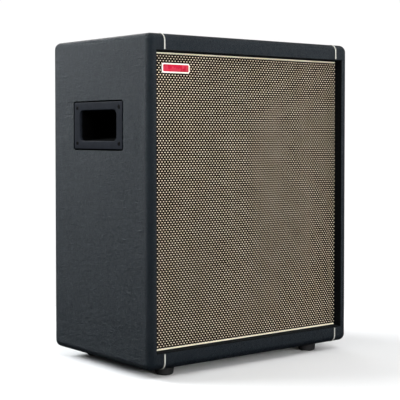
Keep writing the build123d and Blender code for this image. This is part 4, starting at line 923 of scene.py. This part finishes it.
@dataclass
class ControlPanel:
    """The printing on the amplifier's plate, and the pale lines on the knobs."""

    effects: Effects
    tick_length: float = 2.4 * MM
    tick_width: float = 0.45 * MM
    ink: float = 0.08 * MM
    gap: float = 2.0 * MM
    sweep: float = math.radians(300)
    digit_size: float = 2.6 * MM
    digit_gap: float = 2.1 * MM
    digit_fill: float = 1.35
    detent: float = math.radians(30)
    numbered: tuple[int, ...] = (0, 5, 10)
    selector_places: int = 4
    pointer_start: float = 2.0 * MM
    pointer_reach: float = 0.70
    pointer_width: float = 0.9 * MM
    pointer_depth: float = 0.7 * MM
    pointer_proud: float = 0.12 * MM
    dials: dict[str, int] = field(
        default_factory=lambda: {"volume_knob": 11, "bass_knob": 11, "treble_knob": 11, "voicing_knob": 4}
    )

    def knob_place(self, node: str) -> tuple[Vector, float]:
        """The middle of a knob on the plate's face, and the knob's radius."""
        low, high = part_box(node)
        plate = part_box("amp_plate")[1].y
        return Vector(((low.x + high.x) / 2, plate, (low.z + high.z) / 2)), (high.x - low.x) / 2

    def dial_span(self, count: int) -> tuple[float, float]:
        """A dial's first angle clockwise from the top, seen from the rear, and the step between its marks."""
        if count > self.selector_places:
            return -self.sweep / 2, self.sweep / (count - 1)
        return 0.0, self.detent

    def build_ticks(self, node: str, count: int) -> None:
        """Lays the marks round a knob.

        Args:
            node: The knob's node.
            count: How many marks it has.
        """
        middle, radius = self.knob_place(node)
        first, step = self.dial_span(count)
        name = node.replace("knob", "scale_marks")
        inputs = {
            "Count": count,
            "Radius": radius + self.gap,
            "First Angle": first,
            "Step": step,
            "Mark Size": (self.tick_width, self.ink, self.tick_length),
            "Middle": tuple(middle),
        }
        tree = GeometryTree(name, inputs)
        g, given = tree.graph, tree.given
        points = g.add("GeometryNodePoints", {"Count": given["Count"]})
        index = g.add("GeometryNodeInputIndex").outputs[0]
        angle = g.math("ADD", given["First Angle"], g.times(index, given["Step"]))
        across = g.times(g.times(g.math("SINE", angle), given["Radius"]), -1.0)
        upward = g.times(g.math("COSINE", angle), given["Radius"])
        spot = g.add("ShaderNodeCombineXYZ", {0: across, 1: self.ink / 2, 2: upward}).outputs[0]
        spot = g.vector("ADD", spot, given["Middle"])
        moved = g.add("GeometryNodeSetPosition", {"Geometry": points.outputs[0], "Position": spot})
        mark = g.add("GeometryNodeMeshCube", {"Size": given["Mark Size"]})
        tilt = g.times(angle, -1.0)
        turn = g.add("ShaderNodeCombineXYZ", {0: 0.0, 1: tilt, 2: 0.0}).outputs[0]
        keys = {"Points": moved.outputs[0], "Instance": mark.outputs[0], "Rotation": turn}
        placed = g.add("GeometryNodeInstanceOnPoints", keys)
        mesh = tree.finish(placed.outputs[0], PRINT.material(self.effects), name)
        set_smooth(mesh, smooth=False)
        new_piece(name, mesh, "cabinet")

    def text_mesh(self, words: str, size: float, middle: Vector, name: str) -> Mesh:
        """Writes a number on the plate, facing the rear.

        Args:
            words: The digits.
            size: Their height, about.
            middle: Where their middle stands.
            name: The mesh's name.

        Returns:
            The mesh, in place.
        """
        curve = bpy.data.curves.new(name, "FONT")
        curve.body = words
        curve.size = size * self.digit_fill
        curve.align_x = "CENTER"
        curve.align_y = "CENTER"
        curve.extrude = self.ink / 2
        mesh = settle(place(name, curve), name)
        to_rear = Matrix(((-1, 0, 0, 0), (0, 0, 1, 0), (0, 1, 0, 0), (0, 0, 0, 1)))
        mesh.transform(Matrix.Translation(middle) @ to_rear)
        return mesh

    def build_digits(self, node: str, count: int) -> None:
        """Writes the numbers outside a knob's marks: 0 to 10, or 1 to 4 on the selector.

        Args:
            node: The knob's node.
            count: How many marks it has.
        """
        middle, radius = self.knob_place(node)
        first, step = self.dial_span(count)
        reach = radius + self.gap + self.tick_length / 2 + self.digit_gap
        joined = bmesh.new()
        for k in range(count):
            if count > self.selector_places and k not in self.numbered:
                continue
            angle = first + k * step
            spot = middle + Vector((-math.sin(angle) * reach, self.ink / 2, math.cos(angle) * reach))
            word = str(k) if count > self.selector_places else str(k + 1)
            mesh = self.text_mesh(word, self.digit_size, spot, "digit")
            joined.from_mesh(mesh)
            bpy.data.meshes.remove(mesh)
        name = node.replace("knob", "scale_numbers")
        bmesh.ops.recalc_face_normals(joined, faces=joined.faces)
        result = baked(joined, name)
        result.materials.append(PRINT.material(self.effects))
        new_piece(name, result, "cabinet")

    def build_pointer(self, node: str) -> None:
        """Inlays a pale line in a knob's top.

        Args:
            node: The knob's node.
        """
        middle, radius = self.knob_place(node)
        half = self.pointer_width / 2
        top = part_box(node)[1].y + self.pointer_proud
        near, far, bottom = self.pointer_start, radius * self.pointer_reach, top - self.pointer_depth
        body = bmesh.new()
        profile = [(near, top), (far, top), (far, bottom), (near, bottom)]
        rings = []
        for x in (-half, half):
            rings.append([body.verts.new((middle.x + x, y, middle.z + z)) for z, y in profile])
        body.faces.new(rings[0])
        body.faces.new(rings[1][::-1])
        for k in range(len(profile)):
            n = (k + 1) % len(profile)
            body.faces.new((rings[0][k], rings[0][n], rings[1][n], rings[1][k]))
        bmesh.ops.recalc_face_normals(body, faces=body.faces)
        round_off = {"offset": self.pointer_proud, "segments": 2, "affect": "EDGES", "profile": 0.5}
        bmesh.ops.bevel(body, geom=body.edges[:], **round_off)
        name = node.replace("knob", "pointer_line")
        mesh = baked(body, name)
        mesh.materials.append(PRINT.material(self.effects))
        owner = next(b for b, nodes in frame["record"]["behaviour"]["bodies"].items() if node in nodes)
        new_piece(name, mesh, owner)

    def build(self) -> None:
        """Makes the marks, numbers and pointer lines of every dial."""
        for node, count in self.dials.items():
            self.build_ticks(node, count)
            self.build_digits(node, count)
            self.build_pointer(node)
            LOG.info("dial of %s", node)


# ---- studio
@dataclass
class Studio:
    """The floor, the lights and the camera."""

    floor_size: float = 12.0
    floor_colour: Colour = (0.85, 0.85, 0.85)
    bounce_colour: Colour = (0.05, 0.052, 0.055)
    sky_colour: Colour = (0.97, 0.985, 1.0)
    sky_heights: tuple[float, float] = (0.02, 0.75)
    sky_levels: tuple[float, float] = (0.03, 0.55)
    shadow_reach: float = 0.34
    white_reach: float = 0.62
    lens: float = 99.768
    sensor: float = 36.0
    shift_y: float = -0.075
    clip: tuple[float, float] = (0.05, 60.0)
    camera_place: tuple[float, float, float] = (-1.20887, -1.50093, 0.38276)
    heading: float = math.radians(38.733)
    pitch: float = math.radians(1.916)

    def build_floor(self) -> None:
        """Lays a plain pale floor."""
        body = bmesh.new()
        bmesh.ops.create_grid(body, x_segments=1, y_segments=1, size=self.floor_size)
        mesh = baked(body, "studio_floor")
        floor = place("studio_floor", mesh)
        made = bpy.data.materials.new("pale_floor")
        made.use_nodes = True
        made.node_tree.nodes.clear()
        graph = Graph(made.node_tree)
        seen = graph.add("ShaderNodeLightPath").outputs["Is Camera Ray"]
        white = graph.add("ShaderNodeBsdfDiffuse", {"Color": self.floor_colour})
        dim = graph.add("ShaderNodeBsdfDiffuse", {"Color": self.bounce_colour})
        glow = graph.add("ShaderNodeEmission", {"Color": WHITE, "Strength": BACKDROP_STRENGTH})
        where = graph.add("ShaderNodeTexCoord").outputs["Object"]
        reach = graph.add("ShaderNodeVectorMath", {0: where}, operation="LENGTH").outputs["Value"]
        far = graph.spread(reach, self.shadow_reach, self.white_reach)
        near = graph.add("ShaderNodeMixShader", {0: far, 1: white.outputs[0], 2: glow.outputs[0]})
        mixed = graph.add("ShaderNodeMixShader", {0: seen, 1: dim.outputs[0], 2: near.outputs[0]})
        graph.add("ShaderNodeOutputMaterial", {"Surface": mixed.outputs[0]})
        mesh.materials.append(made)

    def build_world(self) -> None:
        """Lights the scene from a sky that is dark at the horizon, behind a plain white backdrop."""
        world = bpy.data.worlds.new("studio")
        bpy.context.scene.world = world
        world.use_nodes = True
        world.node_tree.nodes.clear()
        graph = Graph(world.node_tree)
        where = graph.add("ShaderNodeTexCoord").outputs["Generated"]
        level = graph.spread(graph.axes(where)[2], *self.sky_heights, *self.sky_levels)
        sky = graph.add("ShaderNodeBackground", {"Color": self.sky_colour, "Strength": level})
        backdrop = graph.add("ShaderNodeBackground", {"Color": WHITE, "Strength": BACKDROP_STRENGTH})
        seen = graph.add("ShaderNodeLightPath").outputs["Is Camera Ray"]
        mixed = graph.add("ShaderNodeMixShader", {0: seen, 1: sky.outputs[0], 2: backdrop.outputs[0]})
        graph.add("ShaderNodeOutputWorld", {"Surface": mixed.outputs[0]})

    def softbox(
        self,
        name: str,
        spot: tuple[float, float, float],
        size: tuple[float, float],
        watts: float,
        aim: Vector = Vector((0.0, 0.0, 0.3)),
        tint: Colour = WHITE,
        spread: float = 180.0,
    ) -> None:
        """Adds a rectangular soft light.

        Args:
            name: The light's name.
            spot: Where it stands.
            size: Its width and height.
            watts: Its power.
            aim: The point that it faces.
            tint: Its colour.
            spread: How wide its grid lets the light fan out, in degrees.
        """
        light = bpy.data.lights.new(name, "AREA")
        light.spread = math.radians(spread)
        light.shape = "RECTANGLE"
        light.size, light.size_y = size
        light.energy = watts
        light.color = tint
        lamp = place(name, light)
        lamp.location = spot
        lamp.rotation_mode = "QUATERNION"
        lamp.rotation_quaternion = (aim - Vector(spot)).to_track_quat("-Z", "Y")

    def build_lights(self) -> None:
        """Places the soft lights: the strongest behind on the left, a narrow key in front, three that fill."""
        upper = Vector((-0.05, -0.1, 0.6))
        self.softbox("front_key", (-0.45, -2.7, 0.8), (0.9, 0.7), 9.4, aim=upper, spread=60.0)
        self.softbox("high_front_box", (-0.2, -1.9, 2.2), (1.0, 1.0), 22.0)
        self.softbox("left_rear_box", (-1.8, 2.05, 1.6), (2.4, 1.0), 156.0, tint=(0.93, 0.965, 0.985))
        self.softbox("right_box", (2.5, -1.3, 1.3), (1.6, 1.2), 34.0)
        self.softbox("rear_fill", (1.4, 2.6, 1.6), (1.4, 1.4), 16.0)

    def build_camera(self) -> None:
        """Stands the camera at the front left corner, nearly level."""
        data = bpy.data.cameras.new("camera")
        data.lens = self.lens
        data.sensor_width = self.sensor
        data.shift_y = self.shift_y
        data.clip_start, data.clip_end = self.clip
        camera = place("camera", data)
        camera.location = self.camera_place
        camera.rotation_euler = (math.pi / 2 - self.pitch, 0.0, -self.heading)
        bpy.context.scene.camera = camera

    def build(self) -> None:
        """Makes the whole studio."""
        self.build_camera()
        self.build_floor()
        self.build_world()
        self.build_lights()
        bpy.context.scene.view_settings.view_transform = "Standard"


def main() -> None:
    """Builds the studio and every sub-assembly in order."""
    logging.basicConfig(level=logging.INFO, format="%(name)s: %(message)s")
    effects = Effects()
    Studio().build()
    CadDress(effects).dress_all()
    Grille(effects).build()
    ControlPanel(effects).build()


if __name__ == "__main__":
    main()
